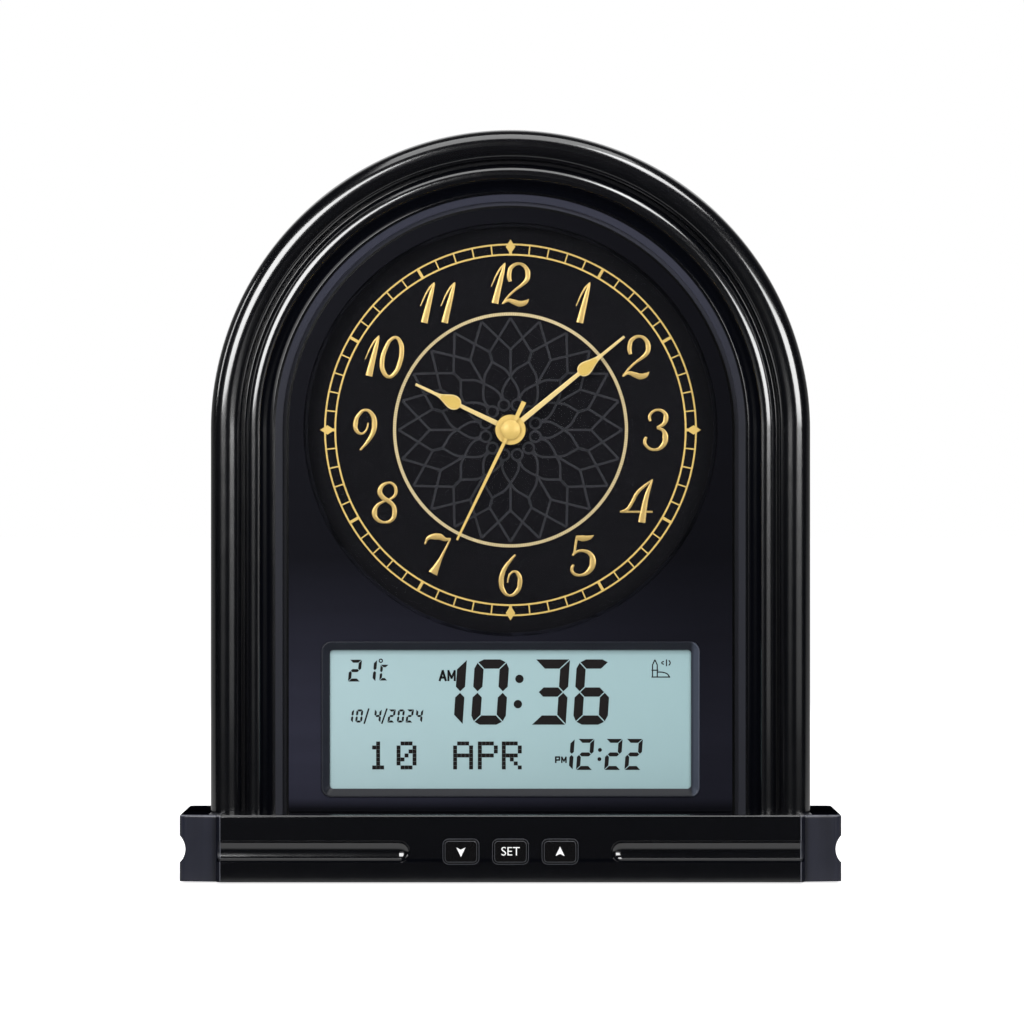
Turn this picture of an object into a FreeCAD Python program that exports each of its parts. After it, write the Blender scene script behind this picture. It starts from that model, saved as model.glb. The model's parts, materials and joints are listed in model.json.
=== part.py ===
import FreeCAD, Part
import math
import os
import re
import Sketcher

# Arched desk clock: a plinth, an arch-shaped case with a round dial over a liquid crystal display,
# a quartz movement, a speaker and a battery bay behind, and three buttons in the plinth's front.
# Millimetres. +Z up, the front faces -Y, the origin lies under the middle of the plinth.

SIZES = [
    # plinth
    ("base_width", 250.0, "plinth, end to end"),
    ("base_depth", 76.0, "plinth with its buttons, front to back"),
    ("base_height", 25.4, "plinth, above its feet"),
    ("foot_drop", 0.8, "how far the feet stand below the plinth"),
    ("block_width", 219.0, "raised front block of the plinth"),
    ("wing_setback", 4.2, "end wings behind the front block, at their root"),
    ("wing_rake", 2.2, "further fall of the wings towards their ends"),
    ("block_flank", 1.6, "slant of the front block's flanks"),
    ("base_corner", 3.0, "corner radius in plan"),
    ("base_round", 1.2, "rounded top edge"),
    ("base_wall", 5.0, "plinth walls"),
    ("base_roof", 3.0, "plinth top"),
    ("flute_height", 8.4, "front flutes, across"),
    ("flute_depth", 2.3, "front flutes and end grooves, into the plinth"),
    ("flute_level", 12.4, "middle of flutes and buttons"),
    ("flute_inner", 37.7, "inner ends of the front flutes, from the middle"),
    ("groove_height", 10.3, "end grooves, across"),
    ("groove_level", 13.0, "middle of the end grooves"),
    ("post_x", 88.0, "outer plate screws, from the middle"),
    ("inner_post_x", 29.3, "inner plate screws, from the middle"),
    ("post_front", 20.0, "front plate screws, before the middle plane"),
    ("post_rear", 24.0, "rear plate screws, behind the middle plane"),
    ("plate_thick", 3.0, "bottom plate"),
    ("plate_ledge", 1.6, "ledge that carries the bottom plate"),
    ("plate_gap", 0.2, "clearance round the bottom plate"),
    ("foot_radius", 6.0, "rubber feet"),
    ("foot_sink", 1.2, "depth of the feet's seats in the bottom plate"),
    ("foot_inset", 12.0, "feet, from the edges of the bottom plate"),
    # arch case
    ("case_radius", 113.7, "outside of the arch and half width of the case"),
    ("dial_height", 171.5, "dial axis above the ground"),
    ("case_wall", 2.5, "case side wall"),
    ("case_back", 28.0, "rear face of the case behind the middle plane"),
    ("bead_foot", 17.2, "foot of both beads in front of the middle plane"),
    ("bead_width", 11.8, "outer bead"),
    ("bead_rise", 5.6, "outer bead, above its foot"),
    ("step_width", 1.0, "flat step between the beads"),
    ("ovolo_width", 5.7, "inner bead"),
    ("ovolo_rise", 3.4, "inner bead, rise to the cove"),
    ("ovolo_swell", 1.6, "bulge of the inner bead"),
    ("cove_width", 5.0, "cove inside the inner bead"),
    ("cove_fall", 1.8, "cove, fall towards the lip"),
    ("cove_dip", 0.8, "hollow of the cove"),
    ("lip_width", 3.6, "slanted lip inside the cove"),
    ("lip_fall", 2.2, "slanted lip, fall towards the panel"),
    ("seat_width", 5.0, "seat of the front panel inside the lip"),
    ("seat_thick", 2.0, "seat of the front panel, thickness"),
    ("floor_thick", 2.5, "floor of the case"),
    ("boss_radius", 4.0, "screw bosses"),
    ("boss_sink", 0.5, "screw bosses, overlap with the wall"),
    ("lower_boss", 20.0, "lower bosses above the plinth"),
    ("middle_boss", 110.0, "middle bosses above the plinth"),
    ("upper_boss_angle", 50.0, "upper bosses, from the horizontal"),
    ("foot_screw_x", 70.0, "outer screws between plinth and case, from the middle"),
    ("inner_foot_screw_x", 35.0, "inner screws between plinth and case, from the middle"),
    ("foot_screw_y", 12.0, "screws between plinth and case, behind the middle"),
    ("foot_boss_height", 9.0, "bosses on the case floor"),
    ("wire_slot_length", 26.0, "slot for the wires between plinth and case"),
    ("wire_slot_width", 7.0, "slot for the wires, front to back"),
    ("wire_slot_gap", 1.5, "slot for the wires, behind the case's skin"),
    # panel, lens and dial
    ("panel_front", 15.8, "front of the panel before the middle plane"),
    ("panel_thick", 2.3, "front panel"),
    ("panel_gap", 2.4, "dark gap round the front panel"),
    ("panel_rest", 0.2, "clearance of panel and cover over the plinth"),
    ("lens_border", 5.7, "front panel between its edge and the lens"),
    ("lens_thick", 1.2, "clear lens"),
    ("lens_ledge", 1.3, "ledge under the lens"),
    ("lens_gap", 0.15, "clearance round the lens"),
    ("lens_sink", 0.2, "lens below the panel's face"),
    ("dial_depth", 6.5, "dial face behind the panel"),
    ("dial_thick", 1.5, "dial plate"),
    ("dial_rim", 1.6, "rim of the dial dish"),
    ("dial_hole", 4.15, "hole for the movement's stem"),
    ("track_inset", 7.8, "outer line of the minute track inside the lens's edge"),
    ("track_width", 3.9, "between the lines of the minute track"),
    ("track_line", 0.65, "minute track, line width"),
    ("track_rise", 0.25, "minute track and ring above the dial"),
    ("tick_width", 0.5, "minute ticks"),
    ("hour_tick_width", 1.1, "five-minute ticks"),
    ("diamond_height", 5.6, "diamonds at the quarters"),
    ("diamond_width", 3.6, "diamonds at the quarters"),
    ("diamond_inset", 0.9, "middle of the diamonds inside the track's outer line"),
    ("ring_radius", 44.2, "inner ring, middle"),
    ("ring_width", 1.4, "inner ring"),
    # display
    ("window_border", 15.4, "front panel beside the display window"),
    ("window_lift", 8.7, "display window above the plinth"),
    ("window_gap", 5.0, "between display window and lens"),
    ("bezel_margin", 3.0, "bevelled frame round the window"),
    ("bezel_proud", 0.4, "frame's rim before the panel"),
    ("bezel_edge", 0.6, "flat land of the frame's rim"),
    ("bezel_corner", 3.6, "outer corner of the frame"),
    ("bezel_lip", 0.8, "frame's inner edge before its back"),
    ("glass_margin", 1.6, "display glass beyond the window"),
    ("glass_thick", 2.4, "display glass"),
    ("light_thick", 4.0, "backlight"),
    ("light_margin", 2.6, "backlight inside the glass's edges"),
    ("zebra_thick", 1.8, "zebra strips"),
    ("board_thick", 1.6, "circuit boards"),
    ("board_border", 3.7, "front panel beside the main board"),
    ("board_margin", 2.9, "main board above and below the window"),
    ("chip_thick", 1.6, "chips and sockets on the main board"),
    ("chip_can", 2.0, "capacitors on the main board"),
    ("can_height", 4.0, "capacitors on the main board"),
    ("post_radius", 2.4, "posts of the boards"),
    ("post_inset", 3.4, "posts, from the board's edges"),
    # hands
    ("nut_thick", 2.0, "fixing nut"),
    ("stem_proud", 0.2, "threaded stem beyond its nut"),
    ("nut_radius", 6.6, "fixing nut, across corners, half"),
    ("washer_thick", 1.0, "rubber washer"),
    ("washer_radius", 9.0, "rubber washer"),
    ("hand_thick", 0.5, "hands"),
    ("hand_gap", 0.7, "between one hand and the next"),
    ("hour_length", 40.1, "hour hand, from its axis"),
    ("hour_bulb", 22.9, "hour hand, widest place"),
    ("hour_bulb_start", 20.6, "hour hand, root of the bulb"),
    ("hour_bulb_end", 30.6, "hour hand, end of the bulb"),
    ("minute_length", 56.0, "minute hand, from its axis"),
    ("minute_bulb", 35.9, "minute hand, widest place"),
    ("minute_bulb_start", 33.2, "minute hand, root of the bulb"),
    ("minute_bulb_end", 44.0, "minute hand, end of the bulb"),
    ("bulb_width", 5.2, "bulbs of both hands"),
    ("bulb_swell", 0.7, "roundness of the bulbs"),
    ("bulb_hollow", 0.28, "hollow between bulb and needle"),
    ("shank_root", 2.7, "shanks at the hub"),
    ("shank_neck", 1.5, "shanks at the bulb"),
    ("needle_root", 1.1, "needles at the bulb"),
    ("needle_tip", 0.6, "needles at the tip"),
    ("hour_hub", 5.0, "hub of the hour hand"),
    ("minute_hub", 5.7, "hub of the minute hand"),
    ("second_length", 46.6, "second hand, from its axis"),
    ("second_tail", 11.8, "second hand, tail"),
    ("second_root", 1.3, "second hand at the hub"),
    ("second_tip", 0.8, "second hand at the tip"),
    ("tail_width", 1.8, "second hand's tail"),
    ("cap_radius", 3.67, "cap of the second hand"),
    ("cap_rise", 0.9, "cap of the second hand"),
    ("cap_swell", 0.27, "roundness of the second hand's cap"),
    ("hour_angle", 295.6, "hour hand, clockwise from twelve"),
    ("minute_angle", 50.7, "minute hand, clockwise from twelve"),
    ("second_angle", 205.9, "second hand, clockwise from twelve"),
    # movement
    ("motor_size", 56.0, "movement, square"),
    ("motor_depth", 16.0, "movement, front to back"),
    ("motor_drop", 3.0, "middle of the movement below the dial axis"),
    ("motor_wall", 1.2, "movement walls"),
    ("stem_radius", 4.0, "threaded stem"),
    ("hour_pipe", 2.75, "hour pipe, outside"),
    ("minute_pipe", 1.9, "minute pipe, outside"),
    ("second_shaft", 1.0, "seconds shaft"),
    ("run_gap", 0.09, "running clearance of shafts and pipes"),
    ("pivot_radius", 0.6, "wheel pivots"),
    ("pivot_depth", 0.7, "depth of the bearings"),
    ("end_play", 0.14, "pivots to the bottom of their bearings"),
    ("motion_distance", 10.5, "motion work, between axes"),
    ("third_distance", 13.0, "third wheel, from the centre"),
    ("third_direction", 170.0, "third wheel, from the horizontal"),
    ("fourth_distance", 12.5, "intermediate wheel, from the centre"),
    ("fourth_direction", 30.0, "intermediate wheel, from the horizontal"),
    ("rotor_distance", 11.0, "rotor, from the intermediate wheel"),
    ("rotor_direction", 60.0, "rotor, from the horizontal"),
    ("setting_direction", 120.0, "setting pinion, from the horizontal at the minute wheel"),
    ("wheel_thick", 0.8, "toothed wheels"),
    ("layer_gap", 0.6, "between one layer of wheels and the next"),
    ("leaf_reach", 0.2, "leaves beyond the wheel that they mesh with"),
    ("tooth_tip", 0.8, "teeth outside the pitch circle, in modules"),
    ("tooth_root", 1.1, "teeth inside the pitch circle, in modules"),
    ("tooth_root_share", 0.5, "width of a tooth's root, as a share of the pitch"),
    ("tooth_tip_share", 0.2, "width of a tooth's tip, as a share of the pitch"),
    ("magnet_radius", 2.6, "rotor magnet"),
    ("magnet_height", 3.0, "rotor magnet"),
    ("magnet_gap", 0.5, "rotor magnet to stator"),
    ("stator_thick", 0.8, "stator plate"),
    ("stator_side", 4.1, "stator round the rotor, from its axis"),
    ("stator_leg", 2.4, "legs of the stator"),
    ("coil_offset", 2.6, "coil beside the rotor's axis"),
    ("coil_gap", 0.48, "coil's flanges to the stator's leg"),
    ("coil_length", 17.0, "coil"),
    ("coil_radius", 3.1, "coil winding"),
    ("coil_tube", 1.4, "tube of the coil's bobbin"),
    ("flange_radius", 3.4, "flanges of the coil's bobbin"),
    ("bobbin_flange", 0.8, "flanges of the coil's bobbin, thickness"),
    ("setting_shaft", 1.2, "shaft of the setting knob"),
    ("chip_board_width", 15.0, "movement's circuit board"),
    ("chip_board_height", 7.0, "movement's circuit board"),
    ("crystal_radius", 1.0, "quartz crystal's can"),
    ("crystal_length", 6.0, "quartz crystal's can"),
    ("knob_radius", 5.0, "setting knob"),
    ("knob_height", 6.0, "setting knob"),
    ("cell_radius", 7.1, "round cells"),
    ("cell_length", 49.2, "round cells, without the nub"),
    ("nub_radius", 2.7, "cell's nub"),
    ("nub_height", 1.2, "cell's nub"),
    ("contact_thick", 0.4, "contact plates"),
    ("contact_depth", 8.5, "contact plates of the bay, front to back"),
    ("contact_height", 9.9, "contact plates of the bay"),
    ("bump_radius", 2.1, "bumps of the contacts"),
    # rear cover
    ("cover_thick", 3.0, "rear cover"),
    ("cover_gap", 0.2, "clearance round the rear cover"),
    ("well_size", 62.0, "well round the movement"),
    ("tub_wall", 1.6, "walls of the well and the battery bay"),
    ("bay_x", 52.0, "battery bay, from the middle"),
    ("bay_bottom", 52.0, "battery bay above the ground"),
    ("cell_pitch", 15.0, "cells in the battery bay"),
    ("bay_slack", 1.0, "cells to the ends of the battery bay"),
    ("door_thick", 1.8, "battery door"),
    ("door_gap", 0.3, "clearance round the battery door"),
    ("stop_height", 1.5, "stop above the battery door"),
    ("door_rib_length", 16.0, "finger ribs of the battery door"),
    ("door_rib_rise", 0.4, "finger ribs of the battery door"),
    ("door_rib_width", 0.8, "finger ribs of the battery door"),
    ("door_rib_pitch", 2.4, "finger ribs of the battery door"),
    ("door_rib_drop", 5.0, "top finger rib below the bay's top"),
    ("barrel_radius", 1.2, "hinge barrel of the battery door"),
    ("hinge_pin", 0.9, "hinge pins"),
    ("hinge_gap", 0.08, "hinge pins in their holes"),
    ("hinge_bite", 0.96, "hinge pins, into the bay's walls"),
    ("speaker_x", -52.0, "speaker, from the middle"),
    ("speaker_level", 83.0, "speaker above the ground"),
    ("speaker_radius", 28.5, "speaker frame"),
    ("speaker_depth", 17.0, "speaker, front to back"),
    ("speaker_rim", 3.5, "flat rim of the speaker frame"),
    ("speaker_ring", 2.6, "ring round the speaker on the cover"),
    ("speaker_sheet", 1.0, "sheet of the speaker frame"),
    ("speaker_basket", 12.0, "speaker frame, front to back"),
    ("speaker_lead_stop", 6.0, "end of the speaker's leads before the cover"),
    ("speaker_tab", 20.0, "end of the speaker's leads below its middle"),
    ("cone_thick", 0.4, "speaker cone"),
    ("cone_seat", 0.4, "edge of the cone behind the rim's front"),
    ("cone_clear", 3.2, "middle of the cone before the frame's bottom"),
    ("voice_hole", 5.0, "middle hole of the speaker frame"),
    ("magnet_outer", 13.0, "speaker magnet"),
    ("yoke_outer", 11.7, "rear plate of the speaker magnet"),
    ("slot_width", 2.4, "grille slots"),
    ("slot_length", 42.0, "grille slots"),
    ("slot_round", 0.49, "corners of the grille slots, as a share of their width"),
    ("slot_pitch", 5.0, "grille slots"),
    ("slot_count", 9.0, "grille slots"),
    # buttons
    ("button_width", 12.7, "button caps"),
    ("button_height", 8.6, "button caps"),
    ("button_corner", 1.7, "button caps"),
    ("button_round", 0.57, "rounded front edge of the button caps"),
    ("button_pitch", 18.65, "between the buttons"),
    ("button_proud", 0.9, "caps before the plinth"),
    ("button_gap", 0.3, "clearance round the caps"),
    ("aperture_bevel", 0.55, "bevel round the apertures"),
    ("button_travel", 0.8, "travel of the buttons"),
    ("flange_margin", 1.4, "flange beyond the cap"),
    ("flange_thick", 1.2, "flange behind the wall"),
    ("stem_length", 0.9, "button stem behind the flange"),
    ("switch_clear", 0.2, "stem to switch with the button pressed"),
    ("switch_size", 6.0, "switches"),
    ("switch_height", 3.5, "switches"),
    ("plunger_height", 1.0, "switch plungers"),
    ("plunger_radius", 1.7, "switch plungers"),
    ("button_board_width", 66.0, "board of the buttons"),
    ("button_board_height", 13.0, "board of the buttons"),
    # screws and wires
    ("screw_radius", 1.3, "screw shanks"),
    ("head_radius", 2.8, "screw heads"),
    ("head_height", 1.8, "screw heads"),
    ("screw_length", 8.0, "screw shanks"),
    ("small_screw", 0.9, "small screws"),
    ("small_head", 1.9, "small screw heads"),
    ("small_length", 5.0, "small screws"),
    ("small_head_height", 1.2, "small screw heads"),
    ("speaker_screw", 3.2, "speaker's screws, length"),
    ("ribbon_width", 12.0, "ribbon cable"),
    ("ribbon_thick", 0.8, "ribbon cable"),
    ("lead_radius", 0.7, "insulated leads"),
    ("lead_pitch", 2.24, "between the two leads of a pair"),
    ("lead_slack", 9.0, "leads behind the main board"),
    ("lead_bend", 4.0, "bends of leads and ribbon"),
]

TOOTH_COUNTS = {
    "cannon": 12, "minute": 36, "minute_leaf": 10, "hour": 40, "setting": 12,
    "centre": 64, "third_leaf": 8, "third": 60, "second_leaf": 8,
    "second": 30, "fourth_leaf": 10, "fourth": 60, "rotor_leaf": 6, "knob": 24,
}

# what the main board carries, from its middle: across, up, width, height
CHIPS = {
    "processor": (8, 0.55, 14, 14),
    "memory": (-14, 10.55, 8, 6),
    "amplifier": (-40, -3.45, 10, 8),
}
CAPACITORS = [(-50, 12.55), (-38, 12.55), (44, 8.55), (24, 14.55)]

# the same for what stands along the board's lower edge, with its height above that edge
SOCKETS = {
    "regulator": (30, 14, 6, 5),
    "speaker_socket": (-62, 12, 8, 5),
    "battery_socket": (60, 12, 8, 5),
    "ribbon_socket": (0, 8, 16, 5),
}

doc = FreeCAD.newDocument("arched_clock")
sheet = doc.addObject("Spreadsheet::Sheet", "Sizes")
for row, (alias, value, meaning) in enumerate(SIZES, 1):
    sheet.set("A%d" % row, meaning)
    sheet.set("B%d" % row, str(value))
    sheet.setAlias("B%d" % row, alias)
doc.recompute()

ALIASES = {alias for alias, value, meaning in SIZES}
nodes = []


# ---- expressions ----

def ref(text):
    """An expression on the sheet's cells, from one that names them plainly."""
    return re.sub(r"[A-Za-z_]\w*", lambda word: "Sizes." + word[0] if word[0] in ALIASES else word[0], text)


def num(text):
    """The present value of an expression."""
    result = sheet.evalExpression(ref(text))
    return float(getattr(result, "Value", result))


def bind(thing, **expressions):
    for name, text in expressions.items():
        thing.setExpression(name.replace("__", "."), ref(text))
    return thing


# ---- part design ----

def keep(thing, label):
    """Register a finished sub-part under its node name."""
    thing.Label = label
    nodes.append(thing)
    return thing


def new_body(name):
    return keep(doc.addObject("PartDesign::Body", name), name)


def origin_plane(body, role):
    return [feature for feature in body.Origin.OriginFeatures if feature.Role == role][0]


def sketch_on(body, role, shift):
    """A sketch on an origin plane of the body, moved along the plane's normal."""
    sketch = body.newObject("Sketcher::SketchObject", "Sketch")
    sketch.AttachmentSupport = [(origin_plane(body, role), "")]
    sketch.MapMode = "FlatFace"
    return bind(sketch, AttachmentOffset__Base__z=shift)


def front_sketch(body, depth):
    """A sketch seen from the front, on the plane Y = depth."""
    return sketch_on(body, "XZ_Plane", "-(%s)" % depth)


def plan_sketch(body, level):
    """A sketch seen from above, on the plane Z = level."""
    return sketch_on(body, "XY_Plane", level)


def pin(sketch, index, position, across, up):
    """Hold one point of the sketch at two expressions."""
    for kind, text in (("DistanceX", across), ("DistanceY", up)):
        held = sketch.addConstraint(Sketcher.Constraint(kind, -1, 1, index, position, num(text)))
        sketch.setExpression("Constraints[%d]" % held, ref(text))


def circle(sketch, across, up, radius):
    middle = FreeCAD.Vector(num(across), num(up), 0)
    index = sketch.addGeometry(Part.Circle(middle, FreeCAD.Vector(0, 0, 1), num(radius)))
    pin(sketch, index, 3, across, up)
    held = sketch.addConstraint(Sketcher.Constraint("Radius", index, num(radius)))
    sketch.setExpression("Constraints[%d]" % held, ref(radius))


def outline(sketch, corners):
    """A closed outline, counter-clockwise. A third entry swells the edge that starts at its corner."""
    places = [FreeCAD.Vector(num(corner[0]), num(corner[1]), 0) for corner in corners]
    starts = []
    for number, corner in enumerate(corners):
        here = places[number]
        there = places[(number + 1) % len(places)]
        if len(corner) == 2:
            starts.append((sketch.addGeometry(Part.LineSegment(here, there)), 1, 2))
            continue
        run = there - here
        side = FreeCAD.Vector(run.y, -run.x, 0).normalize()
        middle = (here + there) * 0.5 + side * num(corner[2])
        index = sketch.addGeometry(Part.Arc(here, middle, there))
        forward = sketch.getPoint(index, 1).distanceToPoint(here) < run.Length / 2
        starts.append((index, 1, 2) if forward else (index, 2, 1))
        after = corners[(number + 1) % len(corners)]
        chord = "((%s)-(%s))^2+((%s)-(%s))^2" % (after[0], corner[0], after[1], corner[1])
        radius = "(%s)/8/abs(%s)+abs(%s)/2" % (chord, corner[2], corner[2])
        held = sketch.addConstraint(Sketcher.Constraint("Radius", index, num(radius)))
        sketch.setExpression("Constraints[%d]" % held, ref(radius))
    for number, (index, first, last) in enumerate(starts):
        after = starts[(number + 1) % len(starts)]
        sketch.addConstraint(Sketcher.Constraint("Coincident", index, last, after[0], after[1]))
        pin(sketch, index, first, corners[number][0], corners[number][1])


def rectangle(sketch, left, right, low, high):
    outline(sketch, [(left, low), (right, low), (right, high), (left, high)])


QUARTER = 1 - math.sqrt(0.5)    # swell of a quarter round, as a share of its radius


def rounded(sketch, left, right, low, high, radius):
    swell = "%s*%.9f" % (radius, QUARTER)
    outline(sketch, [
        ("%s+%s" % (left, radius), low),
        ("%s-%s" % (right, radius), low, swell),
        (right, "%s+%s" % (low, radius)),
        (right, "%s-%s" % (high, radius), swell),
        ("%s-%s" % (right, radius), high),
        ("%s+%s" % (left, radius), high, swell),
        (left, "%s-%s" % (high, radius)),
        (left, "%s+%s" % (low, radius), swell),
    ])


def feature_of(body, kind, sketch, **settings):
    feature = body.newObject("PartDesign::" + kind, kind)
    feature.Profile = sketch
    for name, value in settings.items():
        setattr(feature, name, value)
    return feature


def pad(body, sketch, length, **settings):
    """Material on the side that the sketch faces."""
    return bind(feature_of(body, "Pad", sketch, **settings), Length=length)


def pocket(body, sketch, depth, **settings):
    """A cut into the side that the sketch turns its back on."""
    return bind(feature_of(body, "Pocket", sketch, **settings), Length=depth)


def mirrored(body, originals):
    """The same features on the other side of the middle plane."""
    feature = body.newObject("PartDesign::Mirrored", "Mirrored")
    feature.Originals = originals
    feature.MirrorPlane = (origin_plane(body, "YZ_Plane"), [""])
    body.Tip = feature
    return feature


def edges(feature, chosen):
    """Names of the feature's edges that a test picks."""
    doc.recompute()
    return ["Edge%d" % number for number, edge in enumerate(feature.Shape.Edges, 1) if chosen(edge)]


def dress(body, kind, feature, chosen, size):
    """A fillet or chamfer on the edges that a test picks."""
    dressed = body.newObject("PartDesign::" + kind, kind)
    dressed.Base = (feature, edges(feature, chosen))
    return bind(dressed, **{"Radius" if kind == "Fillet" else "Size": size})


TOUCH = 1e-3    # closer than this is the same place


def flat_at(axis, level):
    """Picks edges that lie wholly in one plane."""
    def chosen(edge):
        box = edge.BoundBox
        low, high = {"x": (box.XMin, box.XMax), "y": (box.YMin, box.YMax), "z": (box.ZMin, box.ZMax)}[axis]
        return abs(low - num(level)) < TOUCH and abs(high - num(level)) < TOUCH
    return chosen


# ---- primitives ----

def block(name, left, right, front, back, low, high):
    return bind(
        doc.addObject("Part::Box", name),
        Length="(%s)-(%s)" % (right, left),
        Width="(%s)-(%s)" % (back, front),
        Height="(%s)-(%s)" % (high, low),
        Placement__Base__x=left, Placement__Base__y=front, Placement__Base__z=low,
    )


TURN = {
    "x": FreeCAD.Rotation(FreeCAD.Vector(0, 1, 0), 90),
    "y": FreeCAD.Rotation(FreeCAD.Vector(1, 0, 0), -90),
    "z": FreeCAD.Rotation(),
}


def round_bar(name, axis, radius, start, length, across, up):
    """A cylinder along an axis, from a start on it. across and up are the other two coordinates."""
    bar = doc.addObject("Part::Cylinder", name)
    bar.Placement.Rotation = TURN[axis]
    places = {"x": (start, across, up), "y": (across, start, up), "z": (across, up, start)}[axis]
    bind(bar, Radius=radius, Height=length)
    return bind(bar, Placement__Base__x=places[0], Placement__Base__y=places[1], Placement__Base__z=places[2])


def joined(name, shapes):
    both = doc.addObject("Part::MultiFuse", name)
    both.Shapes = shapes
    both.Refine = True
    return both


def cut(name, solid, tools):
    rest = doc.addObject("Part::Cut", name)
    rest.Base = solid
    rest.Tool = tools[0] if len(tools) == 1 else joined(name + "_tools", tools)
    rest.Refine = True
    return rest


def group(label, solids):
    """Separate solids of one kind in one node."""
    together = doc.addObject("Part::Compound", label)
    together.Links = solids
    return keep(together, label)


def screw(name, axis, towards, seat, across, up, shank, head, length, thick):
    """A pan-head screw with its head on the seat; towards is the sign of the way its shank points."""
    sign = "" if towards > 0 else "-"
    begin = seat if towards > 0 else "(%s)-(%s)" % (seat, length)
    top = "(%s)-(%s)" % (seat, thick) if towards > 0 else seat
    stem = round_bar(name + "_shank", axis, shank, begin, length, across, up)
    cap = round_bar(name + "_head", axis, head, top, thick, across, up)
    solid = joined(name + "_blank", [stem, cap])
    depth = "%s/2" % thick
    start = "(%s)%s" % (top, "" if towards > 0 else "+(%s)/2" % thick)
    recess = round_bar(name + "_recess", axis, "%s/3" % head, start, depth, across, up)
    return cut(name, solid, [recess])


# ---- shared places ----

BASE_TOP = "(foot_drop+base_height)"
BASE_FRONT = "(button_proud-base_depth/2)"
WALL_BACK = "(%s+base_wall)" % BASE_FRONT
PANEL_BACK = "(panel_thick-panel_front)"
LIP = "(case_radius-bead_width-step_width-ovolo_width-cove_width-lip_width)"
SEAT = "(%s-seat_width)" % LIP
PANEL_EDGE = "(%s-panel_gap)" % LIP
LENS = "(%s-lens_border)" % PANEL_EDGE
SKIN_BACK = "(%s+seat_thick)" % PANEL_BACK
CASE_INSIDE = "(case_radius-case_wall)"
COVER_FRONT = "(case_back-cover_thick)"
FLOOR_TOP = "(%s+floor_thick)" % BASE_TOP
BOSS_REACH = "(%s-boss_radius+boss_sink)" % CASE_INSIDE
DIAL_FACE = "(%s+dial_depth)" % PANEL_BACK
DIAL_BACK = "(%s+dial_thick)" % DIAL_FACE
WINDOW_SIDE = "(%s-window_border)" % PANEL_EDGE
WINDOW_LOW = "(%s+window_lift)" % BASE_TOP
WINDOW_TOP = "(dial_height-%s-window_gap)" % LENS
GLASS_BACK = "(%s+glass_thick)" % PANEL_BACK
BOARD_FRONT = "(%s+light_thick)" % GLASS_BACK
BOARD_BACK = "(%s+board_thick)" % BOARD_FRONT
BOARD_SIDE = "(%s-board_border)" % PANEL_EDGE
BOARD_LOW = "(%s-board_margin)" % WINDOW_LOW
BOARD_HIGH = "(%s+board_margin)" % WINDOW_TOP
BOARD_MIDDLE = "((%s+%s)/2)" % (BOARD_LOW, BOARD_HIGH)
BOARD_POSTS = [("%s(%s-post_inset)" % (side, BOARD_SIDE), up) for side in ("-", "")
               for up in ("(%s+post_inset)" % BOARD_LOW, "(%s-post_inset)" % BOARD_HIGH)]

COVER_SCREWS = [("%s%s" % (side, BOSS_REACH), "(%s+%s)" % (BASE_TOP, level))
                for side in ("-", "") for level in ("lower_boss", "middle_boss")]
COVER_SCREWS += [("%s%s*cos(upper_boss_angle)" % (side, BOSS_REACH),
                  "(dial_height+%s*sin(upper_boss_angle))" % BOSS_REACH) for side in ("-", "")]
CASE_SCREWS = [("%sfoot_screw_x" % side, "foot_screw_y") for side in ("-", "")]
CASE_SCREWS += [("%sinner_foot_screw_x" % side, "foot_screw_y") for side in ("-", "")]
PLATE_SCREWS = [("%s%s" % (side, across), back) for side in ("-", "")
                for across, back in (("post_x", "-post_front"), ("post_x", "post_rear"),
                                     ("inner_post_x", "post_rear"))]
WIRE_FRONT = "(%s+wire_slot_gap)" % SKIN_BACK
WIRE_BACK = "(%s+wire_slot_width)" % WIRE_FRONT


# ---- plinth ----

BLOCK_SIDE = "(block_width/2)"
WING_ROOT = "(%s+wing_setback)" % BASE_FRONT
WING_END = "(%s+wing_rake)" % WING_ROOT


def plinth_plan(sketch):
    swell = "base_corner*%.9f" % QUARTER
    outline(sketch, [
        ("-" + BLOCK_SIDE, BASE_FRONT),
        (BLOCK_SIDE, BASE_FRONT),
        (BLOCK_SIDE + "+block_flank", WING_ROOT),
        ("base_width/2-base_corner", WING_END, swell),
        ("base_width/2", WING_END + "+base_corner"),
        ("base_width/2", "base_depth/2-base_corner", swell),
        ("base_width/2-base_corner", "base_depth/2"),
        ("-base_width/2+base_corner", "base_depth/2", swell),
        ("-base_width/2", "base_depth/2-base_corner"),
        ("-base_width/2", WING_END + "+base_corner", swell),
        ("-base_width/2+base_corner", WING_END),
        ("-%s-block_flank" % BLOCK_SIDE, WING_ROOT),
    ])


def hollow_plan(sketch, grow):
    """The plinth's hollow in plan, or a ledge round it."""
    inner = "(block_width/2-base_wall+%s)" % grow
    outer = "(base_width/2-base_wall+%s)" % grow
    front = "%s-(%s)" % (WALL_BACK, grow)
    wing = "%s+base_wall-(%s)" % (WING_END, grow)
    back = "base_depth/2-base_wall+(%s)" % grow
    outline(sketch, [
        ("-" + inner, front), (inner, front), (inner, wing), (outer, wing),
        (outer, back), ("-" + outer, back), ("-" + outer, wing), ("-" + inner, wing),
    ])


def button_places():
    return ["(%d*button_pitch)" % number for number in (-1, 0, 1)]


def button_outline(sketch, across, grow):
    rounded(
        sketch, "%s-button_width/2-(%s)" % (across, grow), "%s+button_width/2+%s" % (across, grow),
        "flute_level-button_height/2-(%s)" % grow, "flute_level+button_height/2+%s" % grow,
        "(button_corner+%s)" % grow,
    )


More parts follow.
